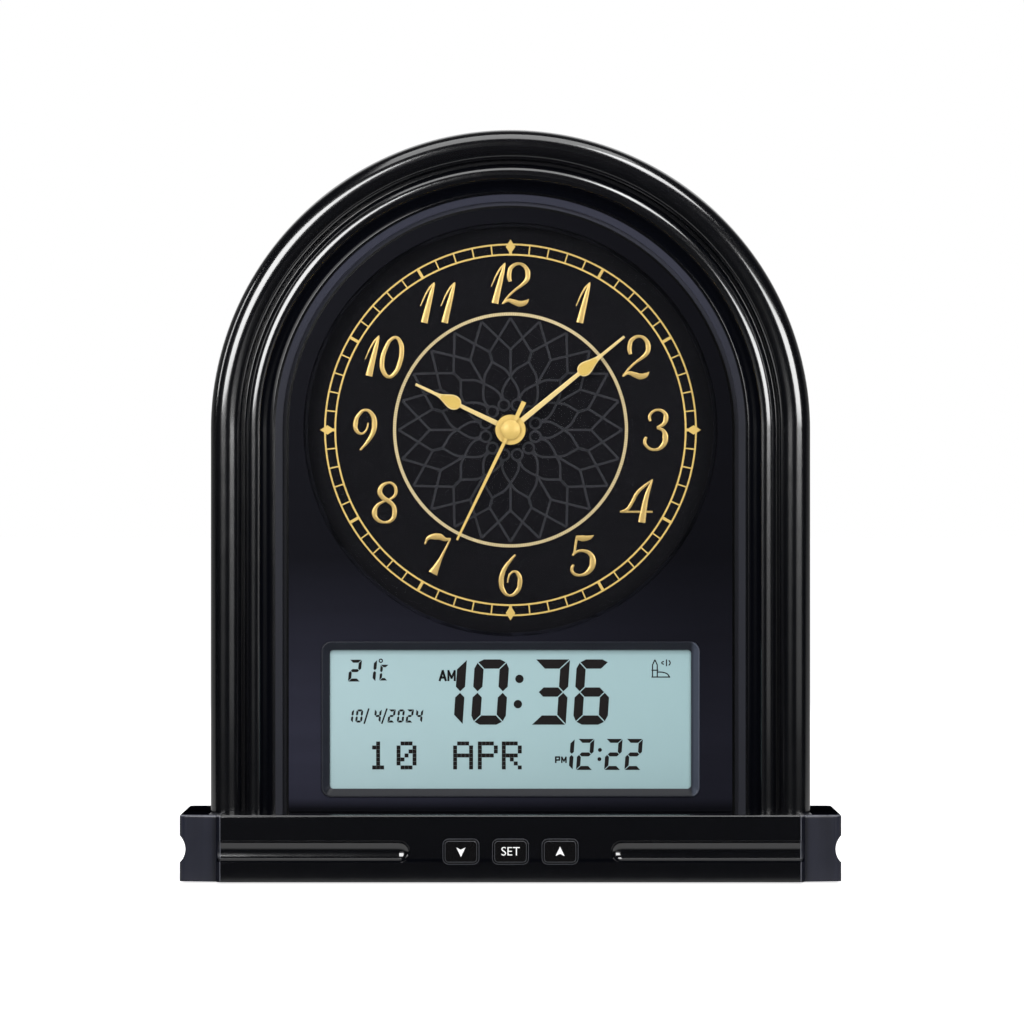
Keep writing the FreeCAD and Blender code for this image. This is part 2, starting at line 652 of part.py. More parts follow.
FOOT_PLACES = [("%s(base_width/2-base_wall-foot_inset)" % side, back) for side in ("-", "")
               for back in ("%s+base_wall+foot_inset" % WING_END, "base_depth/2-base_wall-foot_inset")]
SWITCH_TOP = "(%s+flange_thick+stem_length+button_travel+switch_clear)" % WALL_BACK
BUTTON_BOARD = "(%s+switch_height)" % SWITCH_TOP
BUTTON_POSTS = ["%s(button_board_width/2-post_inset)" % side for side in ("-", "")]


def base_plinth():
    body = new_body("base_plinth")
    plan = plan_sketch(body, "foot_drop")
    plinth_plan(plan)
    solid = pad(body, plan, "base_height")
    dress(body, "Fillet", solid, flat_at("z", BASE_TOP), "base_round")

    hollow = plan_sketch(body, "foot_drop")
    hollow_plan(hollow, "0")
    pocket(body, hollow, "base_height-base_roof", Reversed=True)
    rebate = plan_sketch(body, "foot_drop")
    hollow_plan(rebate, "plate_ledge")
    pocket(body, rebate, "plate_thick", Reversed=True)

    # the front flutes are the path of a round-nosed cutter whose axis runs in front of the face
    cutter = "((flute_height^2/4+flute_depth^2)/2/flute_depth)"
    nose = "(flute_inner+flute_height/2)"
    flute = plan_sketch(body, "flute_level")
    bind(flute, AttachmentOffset__Base__y="%s+flute_depth-%s" % (BASE_FRONT, cutter))
    outline(flute, [
        ("%s-%s" % (nose, cutter), "0"),
        ("block_width/2+block_flank", "0"),
        ("block_width/2+block_flank", cutter),
        (nose, cutter, "%s*%.9f" % (cutter, QUARTER)),
    ])
    right = feature_of(body, "Groove", flute, ReferenceAxis=(flute, ["H_Axis"]), Angle=360)
    mirrored(body, [right])

    round_cut = "((groove_height^2/4+flute_depth^2)/2/flute_depth)"
    ends = front_sketch(body, BASE_FRONT)
    for side in ("-", ""):
        circle(ends, "%s(base_width/2-flute_depth+%s)" % (side, round_cut), "groove_level", round_cut)
    pocket(body, ends, "base_depth")

    apertures = front_sketch(body, BASE_FRONT)
    for across in button_places():
        button_outline(apertures, across, "button_gap")
    opened = pocket(body, apertures, "base_wall")
    at_face = flat_at("y", BASE_FRONT)
    reach = num("1.5*button_pitch+button_width/2")
    lowest, highest = num("foot_drop+base_round"), num("base_height")

    def rims(edge):
        box = edge.BoundBox
        across = abs(box.XMin) < reach and abs(box.XMax) < reach
        return at_face(edge) and across and box.ZMin > lowest and box.ZMax < highest
    dress(body, "Chamfer", opened, rims, "aperture_bevel")

    posts = plan_sketch(body, "%s-base_roof" % BASE_TOP)
    for across, back in PLATE_SCREWS:
        circle(posts, across, back, "boss_radius")
    pad(body, posts, "base_height-base_roof-plate_thick", Reversed=True)
    holes = plan_sketch(body, "foot_drop+plate_thick")
    for across, back in PLATE_SCREWS:
        circle(holes, across, back, "screw_radius")
    pocket(body, holes, "screw_length", Reversed=True)

    board_posts = front_sketch(body, BUTTON_BOARD)
    for across in BUTTON_POSTS:
        circle(board_posts, across, "flute_level", "post_radius")
    pad(body, board_posts, "%s-%s" % (BUTTON_BOARD, WALL_BACK))
    board_holes = front_sketch(body, BUTTON_BOARD)
    for across in BUTTON_POSTS:
        circle(board_holes, across, "flute_level", "small_screw")
    pocket(body, board_holes, "small_length-board_thick", Reversed=True)

    roof = plan_sketch(body, BASE_TOP)
    for across, back in CASE_SCREWS:
        circle(roof, across, back, "screw_radius")
    rectangle(roof, "-wire_slot_length/2", "wire_slot_length/2", WIRE_FRONT, WIRE_BACK)
    pocket(body, roof, "base_roof")


def bottom_plate():
    body = new_body("base_bottom_plate")
    plan = plan_sketch(body, "foot_drop")
    hollow_plan(plan, "(plate_ledge-plate_gap)")
    pad(body, plan, "plate_thick")
    below = plan_sketch(body, "foot_drop")
    for across, back in FOOT_PLACES:
        circle(below, across, back, "foot_radius")
    pocket(body, below, "foot_sink", Reversed=True)
    sunk = plan_sketch(body, "foot_drop")
    through = plan_sketch(body, "foot_drop")
    for across, back in PLATE_SCREWS:
        circle(sunk, across, back, "head_radius")
        circle(through, across, back, "screw_radius")
    pocket(body, sunk, "head_height", Reversed=True)
    pocket(body, through, "plate_thick", Reversed=True)


def plinth_fittings():
    feet = []
    for number, (across, back) in enumerate(FOOT_PLACES):
        feet.append(round_bar("foot_%d" % number, "z", "foot_radius", "0", "foot_drop+foot_sink",
                              across, back))
    group("rubber_feet", feet)
    seat = "(foot_drop+head_height)"
    group("base_screws", [
        screw("base_screw_%d" % number, "z", 1, seat, across, back,
              "screw_radius", "head_radius", "screw_length", "head_height")
        for number, (across, back) in enumerate(PLATE_SCREWS)])
    roof = "(%s-base_roof)" % BASE_TOP
    group("case_screws", [
        screw("case_screw_%d" % number, "z", 1, roof, across, back,
              "screw_radius", "head_radius", "screw_length", "head_height")
        for number, (across, back) in enumerate(CASE_SCREWS)])


def button(label, across):
    body = new_body(label)
    face = front_sketch(body, WALL_BACK)
    button_outline(face, across, "0")
    front = "(%s-button_proud)" % BASE_FRONT
    cap = pad(body, face, "%s-%s" % (WALL_BACK, front))
    dress(body, "Fillet", cap, flat_at("y", front), "button_round")
    flange = front_sketch(body, "(%s+flange_thick)" % WALL_BACK)
    button_outline(flange, across, "flange_margin")
    pad(body, flange, "flange_thick")
    stem = front_sketch(body, "(%s+flange_thick+stem_length)" % WALL_BACK)
    circle(stem, across, "flute_level", "plunger_radius")
    pad(body, stem, "stem_length")


def button_electronics():
    half = "button_board_width/2"
    blank = block("button_board_blank", "-" + half, half, BUTTON_BOARD, "%s+board_thick" % BUTTON_BOARD,
                  "flute_level-button_board_height/2", "flute_level+button_board_height/2")
    holes = [round_bar("button_board_hole_%d" % number, "y", "small_screw", BUTTON_BOARD, "board_thick",
                       across, "flute_level") for number, across in enumerate(BUTTON_POSTS)]
    keep(cut("button_board", blank, holes), "button_board")
    switches = []
    for number, across in enumerate(button_places()):
        can = block("switch_can_%d" % number, "%s-switch_size/2" % across, "%s+switch_size/2" % across,
                    "%s+plunger_height" % SWITCH_TOP, BUTTON_BOARD,
                    "flute_level-switch_size/2", "flute_level+switch_size/2")
        plunger = round_bar("plunger_%d" % number, "y", "plunger_radius", SWITCH_TOP, "plunger_height",
                            across, "flute_level")
        switches.append(joined("switch_%d" % number, [can, plunger]))
    group("tact_switches", switches)
    group("button_board_screws", [
        screw("button_board_screw_%d" % number, "y", -1, "(%s+board_thick)" % BUTTON_BOARD,
              across, "flute_level", "small_screw", "small_head", "small_length", "small_head_height")
        for number, across in enumerate(BUTTON_POSTS)])


# ---- arch case ----

def arch_case():
    body = new_body("arch_case")
    foot = "-bead_foot"
    crest = "-bead_foot-ovolo_rise"
    bead = "(case_radius-bead_width)"
    ovolo = "(%s-step_width)" % bead
    cove = "(%s-ovolo_width)" % ovolo
    slant = "(%s-cove_width)" % cove
    moulding = plan_sketch(body, "dial_height")
    outline(moulding, [
        (SEAT, PANEL_BACK),
        (LIP, PANEL_BACK),
        (LIP, "%s+cove_fall+lip_fall" % crest),
        (slant, "%s+cove_fall" % crest, "-cove_dip"),
        (cove, crest, "ovolo_swell"),
        (ovolo, foot),
        (bead, foot, "bead_rise"),
        ("case_radius", foot),
        ("case_radius", "case_back"),
        (CASE_INSIDE, "case_back"),
        (CASE_INSIDE, SKIN_BACK),
        (SEAT, SKIN_BACK),
    ])
    feature_of(body, "Revolution", moulding, ReferenceAxis=(moulding, ["V_Axis"]), Angle=180, Reversed=True)
    leg = pad(body, moulding, "dial_height-%s" % BASE_TOP, Reversed=True)
    mirrored(body, [leg])

    floor = plan_sketch(body, BASE_TOP)
    rectangle(floor, "-" + CASE_INSIDE, CASE_INSIDE, SKIN_BACK, COVER_FRONT)
    pad(body, floor, "floor_thick")
    bosses = front_sketch(body, COVER_FRONT)
    for across, up in COVER_SCREWS:
        circle(bosses, across, up, "boss_radius")
    pad(body, bosses, "%s-%s" % (COVER_FRONT, SKIN_BACK))
    holes = front_sketch(body, COVER_FRONT)
    for across, up in COVER_SCREWS:
        circle(holes, across, up, "screw_radius")
    pocket(body, holes, "screw_length", Reversed=True)
    feet = plan_sketch(body, FLOOR_TOP)
    for across, back in CASE_SCREWS:
        circle(feet, across, back, "boss_radius")
    pad(body, feet, "foot_boss_height")
    below = plan_sketch(body, BASE_TOP)
    for across, back in CASE_SCREWS:
        circle(below, across, back, "screw_radius")
    pocket(body, below, "screw_length-base_roof", Reversed=True)
    slot = plan_sketch(body, FLOOR_TOP)
    rectangle(slot, "-wire_slot_length/2", "wire_slot_length/2", WIRE_FRONT, WIRE_BACK)
    pocket(body, slot, "floor_thick")


def arch_outline(sketch, radius, low):
    swell = "%s*%.9f" % (radius, QUARTER)
    outline(sketch, [
        ("-" + radius, low), (radius, low), (radius, "dial_height", swell),
        ("0", "dial_height+" + radius, swell), ("-" + radius, "dial_height"),
    ])


# ---- front panel and display ----

def front_panel():
    body = new_body("front_panel")
    sheet_outline = front_sketch(body, PANEL_BACK)
    arch_outline(sheet_outline, PANEL_EDGE, "%s+panel_rest" % BASE_TOP)
    pad(body, sheet_outline, "panel_thick")
    rebate = front_sketch(body, "-panel_front")
    circle(rebate, "0", "dial_height", LENS + "+lens_gap")
    pocket(body, rebate, "lens_sink+lens_thick")
    opening = front_sketch(body, "-panel_front")
    circle(opening, "0", "dial_height", LENS + "-lens_ledge")
    bezel_outline(opening)
    pocket(body, opening, "panel_thick")
    posts = front_sketch(body, BOARD_FRONT)
    for across, up in BOARD_POSTS:
        circle(posts, across, up, "post_radius")
    pad(body, posts, "%s-%s" % (BOARD_FRONT, PANEL_BACK))
    holes = front_sketch(body, BOARD_FRONT)
    for across, up in BOARD_POSTS:
        circle(holes, across, up, "small_screw")
    pocket(body, holes, "small_length-board_thick", Reversed=True)


def bezel_outline(sketch):
    rounded(sketch, "-%s-bezel_margin" % WINDOW_SIDE, WINDOW_SIDE + "+bezel_margin",
            WINDOW_LOW + "-bezel_margin", WINDOW_TOP + "+bezel_margin", "bezel_corner")


def display_bezel():
    """A frame whose inside slopes from its rim to the window."""
    body = new_body("lcd_bezel")
    frame = front_sketch(body, PANEL_BACK)
    bezel_outline(frame)
    rectangle(frame, "-" + WINDOW_SIDE, WINDOW_SIDE, WINDOW_LOW, WINDOW_TOP)
    solid = pad(body, frame, "panel_thick+bezel_proud")
    at_rim = flat_at("y", "-panel_front-bezel_proud")
    side = num(WINDOW_SIDE)
    dressed = body.newObject("PartDesign::Chamfer", "Chamfer")
    low, high = num(WINDOW_LOW), num(WINDOW_TOP)

    def inner(edge):
        box = edge.BoundBox
        within = box.XMax < side + TOUCH and box.XMin > -side - TOUCH
        return at_rim(edge) and within and box.ZMin > low - TOUCH and box.ZMax < high + TOUCH
    dressed.Base = (solid, edges(solid, inner))
    dressed.ChamferType = "Two distances"
    bind(dressed, Size="bezel_margin-bezel_edge", Size2="panel_thick+bezel_proud-bezel_lip")


def display():
    glass_side = "(%s+glass_margin)" % WINDOW_SIDE
    glass_low = "(%s-glass_margin)" % WINDOW_LOW
    glass_high = "(%s+glass_margin)" % WINDOW_TOP
    keep(block("lcd_glass", "-" + glass_side, glass_side, PANEL_BACK, GLASS_BACK, glass_low, glass_high),
         "lcd_glass")
    keep(block("lcd_backlight", "-%s+light_margin" % glass_side, "%s-light_margin" % glass_side,
               GLASS_BACK, BOARD_FRONT, glass_low + "+light_margin", glass_high + "-light_margin"),
         "lcd_backlight")
    strips = []
    for number, low in enumerate((glass_low, "(%s-zebra_thick)" % glass_high)):
        strips.append(block("zebra_%d" % number, "-%s+post_inset" % WINDOW_SIDE, WINDOW_SIDE + "-post_inset",
                            GLASS_BACK, BOARD_FRONT, low, low + "+zebra_thick"))
    group("zebra_strips", strips)
    blank = block("main_board_blank", "-" + BOARD_SIDE, BOARD_SIDE, BOARD_FRONT, BOARD_BACK,
                  BOARD_LOW, BOARD_HIGH)
    holes = [round_bar("main_board_hole_%d" % number, "y", "small_screw", BOARD_FRONT, "board_thick",
                       across, up) for number, (across, up) in enumerate(BOARD_POSTS)]
    keep(cut("main_pcb", blank, holes), "main_pcb")
    group("pcb_screws", [
        screw("pcb_screw_%d" % number, "y", -1, BOARD_BACK, across, up,
              "small_screw", "small_head", "small_length", "small_head_height")
        for number, (across, up) in enumerate(BOARD_POSTS)])
    chips = []
    for level, placed in ((BOARD_MIDDLE, CHIPS), (BOARD_LOW, SOCKETS)):
        for name, (across, up, wide, tall) in placed.items():
            chips.append(block(name, "%g-%g/2" % (across, wide), "%g+%g/2" % (across, wide),
                               BOARD_BACK, "%s+chip_thick" % BOARD_BACK,
                               "%s+%g-%g/2" % (level, up, tall), "%s+%g+%g/2" % (level, up, tall)))
    for number, (across, up) in enumerate(CAPACITORS):
        chips.append(round_bar("capacitor_%d" % number, "y", "chip_can", BOARD_BACK, "can_height",
                               "%g" % across, "%s+%g" % (BOARD_MIDDLE, up)))
    group("pcb_chips", chips)


# ---- dial ----

def dial_plate():
    body = new_body("dial_plate")
    disc = front_sketch(body, DIAL_BACK)
    circle(disc, "0", "dial_height", LENS + "+dial_rim")
    circle(disc, "0", "dial_height", "dial_hole")
    pad(body, disc, "dial_thick")
    rim = front_sketch(body, DIAL_FACE)
    circle(rim, "0", "dial_height", LENS + "+dial_rim")
    circle(rim, "0", "dial_height", LENS)
    pad(body, rim, "dial_depth")


def polar(body, sketch, original, count):
    """Copies of a feature round the dial axis, which is the sketch's own normal."""
    pattern = body.newObject("PartDesign::PolarPattern", "PolarPattern")
    pattern.Originals = [original]
    pattern.Axis = (sketch, ["N_Axis"])
    pattern.Angle = 360
    pattern.Occurrences = count
    body.Tip = pattern
    return pattern


def dial_sketch(body):
    """A sketch on the dial face whose origin is the dial axis."""
    sketch = front_sketch(body, DIAL_FACE)
    return bind(sketch, AttachmentOffset__Base__y="dial_height")


TRACK_OUTER = "(%s-track_inset)" % LENS
TRACK_INNER = "(%s-track_width)" % TRACK_OUTER


def minute_track():
    body = new_body("minute_track")
    outer = dial_sketch(body)
    circle(outer, "0", "0", TRACK_OUTER + "+track_line/2")
    circle(outer, "0", "0", TRACK_OUTER + "-track_line/2")
    pad(body, outer, "track_rise")
    for width, count in (("tick_width", 60), ("hour_tick_width", 12)):
        tick = dial_sketch(body)
        rectangle(tick, "-%s/2" % width, "%s/2" % width, TRACK_INNER, TRACK_OUTER)
        polar(body, tick, pad(body, tick, "track_rise"), count)
    diamond = dial_sketch(body)
    middle = "(%s-diamond_inset)" % TRACK_OUTER
    outline(diamond, [
        ("0", "%s-diamond_height/2" % middle), ("diamond_width/2", middle),
        ("0", "%s+diamond_height/2" % middle), ("-diamond_width/2", middle),
    ])
    polar(body, diamond, pad(body, diamond, "track_rise"), 4)
    inner = dial_sketch(body)
    circle(inner, "0", "0", TRACK_INNER + "+track_line/2")
    circle(inner, "0", "0", TRACK_INNER + "-track_line/2")
    pad(body, inner, "track_rise")


def dial_rings():
    body = new_body("chapter_ring")
    ring = dial_sketch(body)
    circle(ring, "0", "0", "ring_radius+ring_width/2")
    circle(ring, "0", "0", "ring_radius-ring_width/2")
    pad(body, ring, "track_rise")
    keep(round_bar("dial_lens", "y", LENS, "lens_sink-panel_front", "lens_thick",
                   "0", "dial_height"), "dial_lens")


# ---- hands: each is drawn pointing to twelve about its own axis, then turned ----

HOUR_BACK = "(%s-nut_thick-hand_gap)" % DIAL_FACE
MINUTE_BACK = "(%s-hand_thick-hand_gap)" % HOUR_BACK
SECOND_BACK = "(%s-hand_thick-hand_gap)" % MINUTE_BACK


def hand_body(label, angle):
    body = new_body(label)
    body.Placement.Rotation = FreeCAD.Rotation(FreeCAD.Vector(0, 1, 0), num(angle))
    body.Placement.Base = FreeCAD.Vector(0, 0, 0)
    bind(body, Placement__Base__z="dial_height", Placement__Rotation__Angle=angle)
    return body


def bulb_hand(label, angle, back, pipe, hub, start, middle, end, length):
    """A hand with a straight shank, a drop-shaped bulb and a needle."""
    body = hand_body(label, angle)
    blade = front_sketch(body, back)
    outline(blade, [
        ("-shank_root/2", "0"), ("shank_root/2", "0"),
        ("shank_neck/2", start, "bulb_swell"),
        ("bulb_width/2", middle, "-bulb_hollow"),
        ("needle_root/2", end),
        ("needle_tip/2", length),
        ("-needle_tip/2", length),
        ("-needle_root/2", end, "-bulb_hollow"),
        ("-bulb_width/2", middle, "bulb_swell"),
        ("-shank_neck/2", start),
    ])
    pad(body, blade, "hand_thick")
    disc = front_sketch(body, back)
    circle(disc, "0", "0", hub)
    pad(body, disc, "hand_thick")
    bore = front_sketch(body, "(%s-hand_thick)" % back)
    circle(bore, "0", "0", pipe)
    pocket(body, bore, "hand_thick")


def second_hand():
    body = hand_body("second_hand", "second_angle")
    needle = front_sketch(body, SECOND_BACK)
    outline(needle, [
        ("-tail_width/2", "-second_tail"), ("tail_width/2", "-second_tail"),
        ("second_root/2", "0"), ("second_tip/2", "second_length"),
        ("-second_tip/2", "second_length"), ("-second_root/2", "0"),
    ])
    pad(body, needle, "hand_thick")
    boss = front_sketch(body, SECOND_BACK)
    circle(boss, "0", "0", "cap_radius")
    pad(body, boss, "hand_thick")
    bore = front_sketch(body, "(%s-hand_thick)" % SECOND_BACK)
    circle(bore, "0", "0", "second_shaft")
    pocket(body, bore, "hand_thick")
    # the cap is a shallow dome turned about the axis
    face = "(%s-hand_thick)" % SECOND_BACK
    dome = plan_sketch(body, "0")
    outline(dome, [("0", face + "-cap_rise", "cap_swell"), ("cap_radius", face), ("0", face)])
    feature_of(body, "Revolution", dome, ReferenceAxis=(dome, ["V_Axis"]), Angle=360)


# ---- quartz movement ----

MOTOR_FRONT = "(%s+washer_thick)" % DIAL_BACK
MOTOR_BACK = "(%s+motor_depth)" % MOTOR_FRONT
MOTOR_FLOOR = "(%s+motor_wall)" % MOTOR_FRONT
MOTOR_ROOF = "(%s-motor_wall)" % MOTOR_BACK
MOTOR_LOW = "(dial_height-motor_drop-motor_size/2)"
MOTOR_HIGH = "(dial_height-motor_drop+motor_size/2)"
TROUGH_TOP = "(%s+motor_wall+2*cell_radius+2*door_gap)" % MOTOR_LOW
CELL_LEVEL = "(%s+motor_wall+cell_radius+door_gap)" % MOTOR_LOW
CELL_DEPTH = "(%s+cell_radius+door_gap)" % MOTOR_FLOOR

HOUR_START = "(%s+leaf_reach)" % MOTOR_FLOOR
HOUR_END = "(%s+wheel_thick)" % HOUR_START
MINUTE_START = "(%s+layer_gap)" % HOUR_END
MINUTE_END = "(%s+wheel_thick)" % MINUTE_START
CENTRE_START = "(%s+2*layer_gap)" % MINUTE_END
CENTRE_END = "(%s+wheel_thick)" % CENTRE_START
THIRD_START = "(%s+3*layer_gap)" % CENTRE_END
THIRD_END = "(%s+wheel_thick)" % THIRD_START
SECOND_START = "(%s+3*layer_gap)" % THIRD_END
SECOND_END = "(%s+wheel_thick)" % SECOND_START
FOURTH_START = "(%s+2*layer_gap)" % SECOND_END
FOURTH_END = "(%s+wheel_thick)" % FOURTH_START
STATOR_MIDDLE = "(%s+2*layer_gap)" % CENTRE_END
LEAF_FRONT = "(%s-leaf_reach)" % MINUTE_START
LEAF_BACK = "(%s+leaf_reach)" % MINUTE_END

THIRD_X = "third_distance*cos(third_direction)"
THIRD_Z = "third_distance*sin(third_direction)"
FOURTH_X = "(fourth_distance*cos(fourth_direction))"
FOURTH_Z = "(fourth_distance*sin(fourth_direction))"
ROTOR_X = "(%s+rotor_distance*cos(rotor_direction))" % FOURTH_X
ROTOR_Z = "(%s+rotor_distance*sin(rotor_direction))" % FOURTH_Z
SETTING_X = "(motion_distance*cos(setting_direction))"
SETTING_Z = "(motion_distance*(1+sin(setting_direction)))"
BEARINGS = [(THIRD_X, THIRD_Z), (FOURTH_X, FOURTH_Z), (ROTOR_X, ROTOR_Z), (SETTING_X, SETTING_Z)]
PIVOT_FRONT = "(%s-pivot_depth+end_play)" % MOTOR_FLOOR
PIVOT_BACK = "(%s+pivot_depth-end_play)" % MOTOR_ROOF


def motor_case():
    half = "motor_size/2"
    inner = "(motor_size/2-motor_wall)"
    shell = block("motor_shell", "-" + half, half, MOTOR_FRONT, MOTOR_ROOF, MOTOR_LOW, MOTOR_HIGH)
    stem = round_bar("motor_stem", "y", "stem_radius", "%s-nut_thick-stem_proud" % DIAL_FACE,
                     "%s-%s+nut_thick+stem_proud" % (MOTOR_FLOOR, DIAL_FACE), "0", "dial_height")
    train = block("train_room", "-" + inner, inner, MOTOR_FLOOR, MOTOR_ROOF,
                  TROUGH_TOP + "+motor_wall", MOTOR_HIGH + "-motor_wall")
    trough = block("cell_trough", "-" + inner, inner, MOTOR_FLOOR, MOTOR_ROOF,
                   MOTOR_LOW + "+motor_wall", TROUGH_TOP)
    bore = round_bar("stem_bore", "y", "hour_pipe+run_gap", "%s-2*nut_thick" % DIAL_FACE,
                     "%s-%s+2*nut_thick" % (MOTOR_FLOOR, DIAL_FACE), "0", "dial_height")
    bearings = [
        round_bar("front_bearing_%d" % number, "y", "pivot_radius+run_gap", MOTOR_FLOOR + "-pivot_depth",
                  "pivot_depth", across, "dial_height+" + up)
        for number, (across, up) in enumerate(BEARINGS)]
    hollowed = cut("motor_hollow", joined("motor_blank", [shell, stem]), [train, trough, bore] + bearings)
    post = round_bar("minute_post", "y", "pivot_radius", MOTOR_FLOOR,
                     "%s-%s+leaf_reach" % (MINUTE_END, MOTOR_FLOOR), "0", "dial_height+motion_distance")
    keep(joined("movement_case", [hollowed, post]), "movement_case")


def motor_cover():
    plate = block("cover_plate", "-motor_size/2", "motor_size/2", MOTOR_ROOF, MOTOR_BACK,
                  TROUGH_TOP, MOTOR_HIGH)
    tools = [
        round_bar("rear_bearing_%d" % number, "y", "pivot_radius+run_gap", MOTOR_ROOF, "pivot_depth",
                  across, "dial_height+" + up)
        for number, (across, up) in enumerate(BEARINGS[:3] + [("0", "0")])]
    tools.append(round_bar("setting_hole", "y", "setting_shaft+run_gap", MOTOR_ROOF, "motor_wall",
                           SETTING_X, "dial_height+" + SETTING_Z))
    keep(cut("movement_cover", plate, tools), "movement_cover")


def gear_face(teeth, module, phase):
    """Straight-flanked teeth with free play; phase is the direction of one of them, in degrees."""
    pitch = 360.0 / teeth
    tip = module * (teeth / 2.0 + num("tooth_tip"))
    root = module * (teeth / 2.0 - num("tooth_root"))
    wide, narrow = num("tooth_root_share") / 2, num("tooth_tip_share") / 2
    points = []
    for tooth in range(teeth):
        for radius, share in ((root, -wide), (tip, -narrow), (tip, narrow), (root, wide)):
            angle = math.radians(phase + (tooth + share) * pitch)
            points.append(FreeCAD.Vector(radius * math.cos(angle), 0, radius * math.sin(angle)))
    return Part.Face(Part.makePolygon(points + points[:1]))


def meshed(phase, teeth, other, direction):
    """The phase of the other wheel that puts its teeth in the gaps of the first, whose phase is given."""
    share = (direction - phase) * teeth / 360.0 % 1
    return direction + 180 - (0.5 - share) * 360.0 / other


def wheel(label, across, up, gears, bars, bores=()):
    """A toothed piece on its own axis, with its bars and bores.

    A gear is teeth, module, phase, start and end; a bar or a bore is radius, start and end.
    """
    along = FreeCAD.Vector(0, 1, 0)

    def rod(radius, start, end):
        return Part.makeCylinder(num(radius), num("%s-%s" % (end, start)), along * num(start), along)
    solids = []
    for teeth, module, phase, start, end in gears:
        face = gear_face(teeth, module, phase)
        face.translate(along * num(start))
        solids.append(face.extrude(along * num("%s-%s" % (end, start))))
    solids += [rod(*bar) for bar in bars]
    solid = solids[0].multiFuse(solids[1:]) if len(solids) > 1 else solids[0]
    for bore in bores:
        solid = solid.cut(rod(*bore))
    feature = doc.addObject("Part::Feature", label)
    feature.Shape = solid.removeSplitter()
    bind(feature, Placement__Base__x=across, Placement__Base__z="dial_height+" + up)
    return keep(feature, label)


def module_of(distance, first, second):
    """The module of two wheels that mesh at a distance between their axes."""
    return 2 * num(distance) / (TOOTH_COUNTS[first] + TOOTH_COUNTS[second])


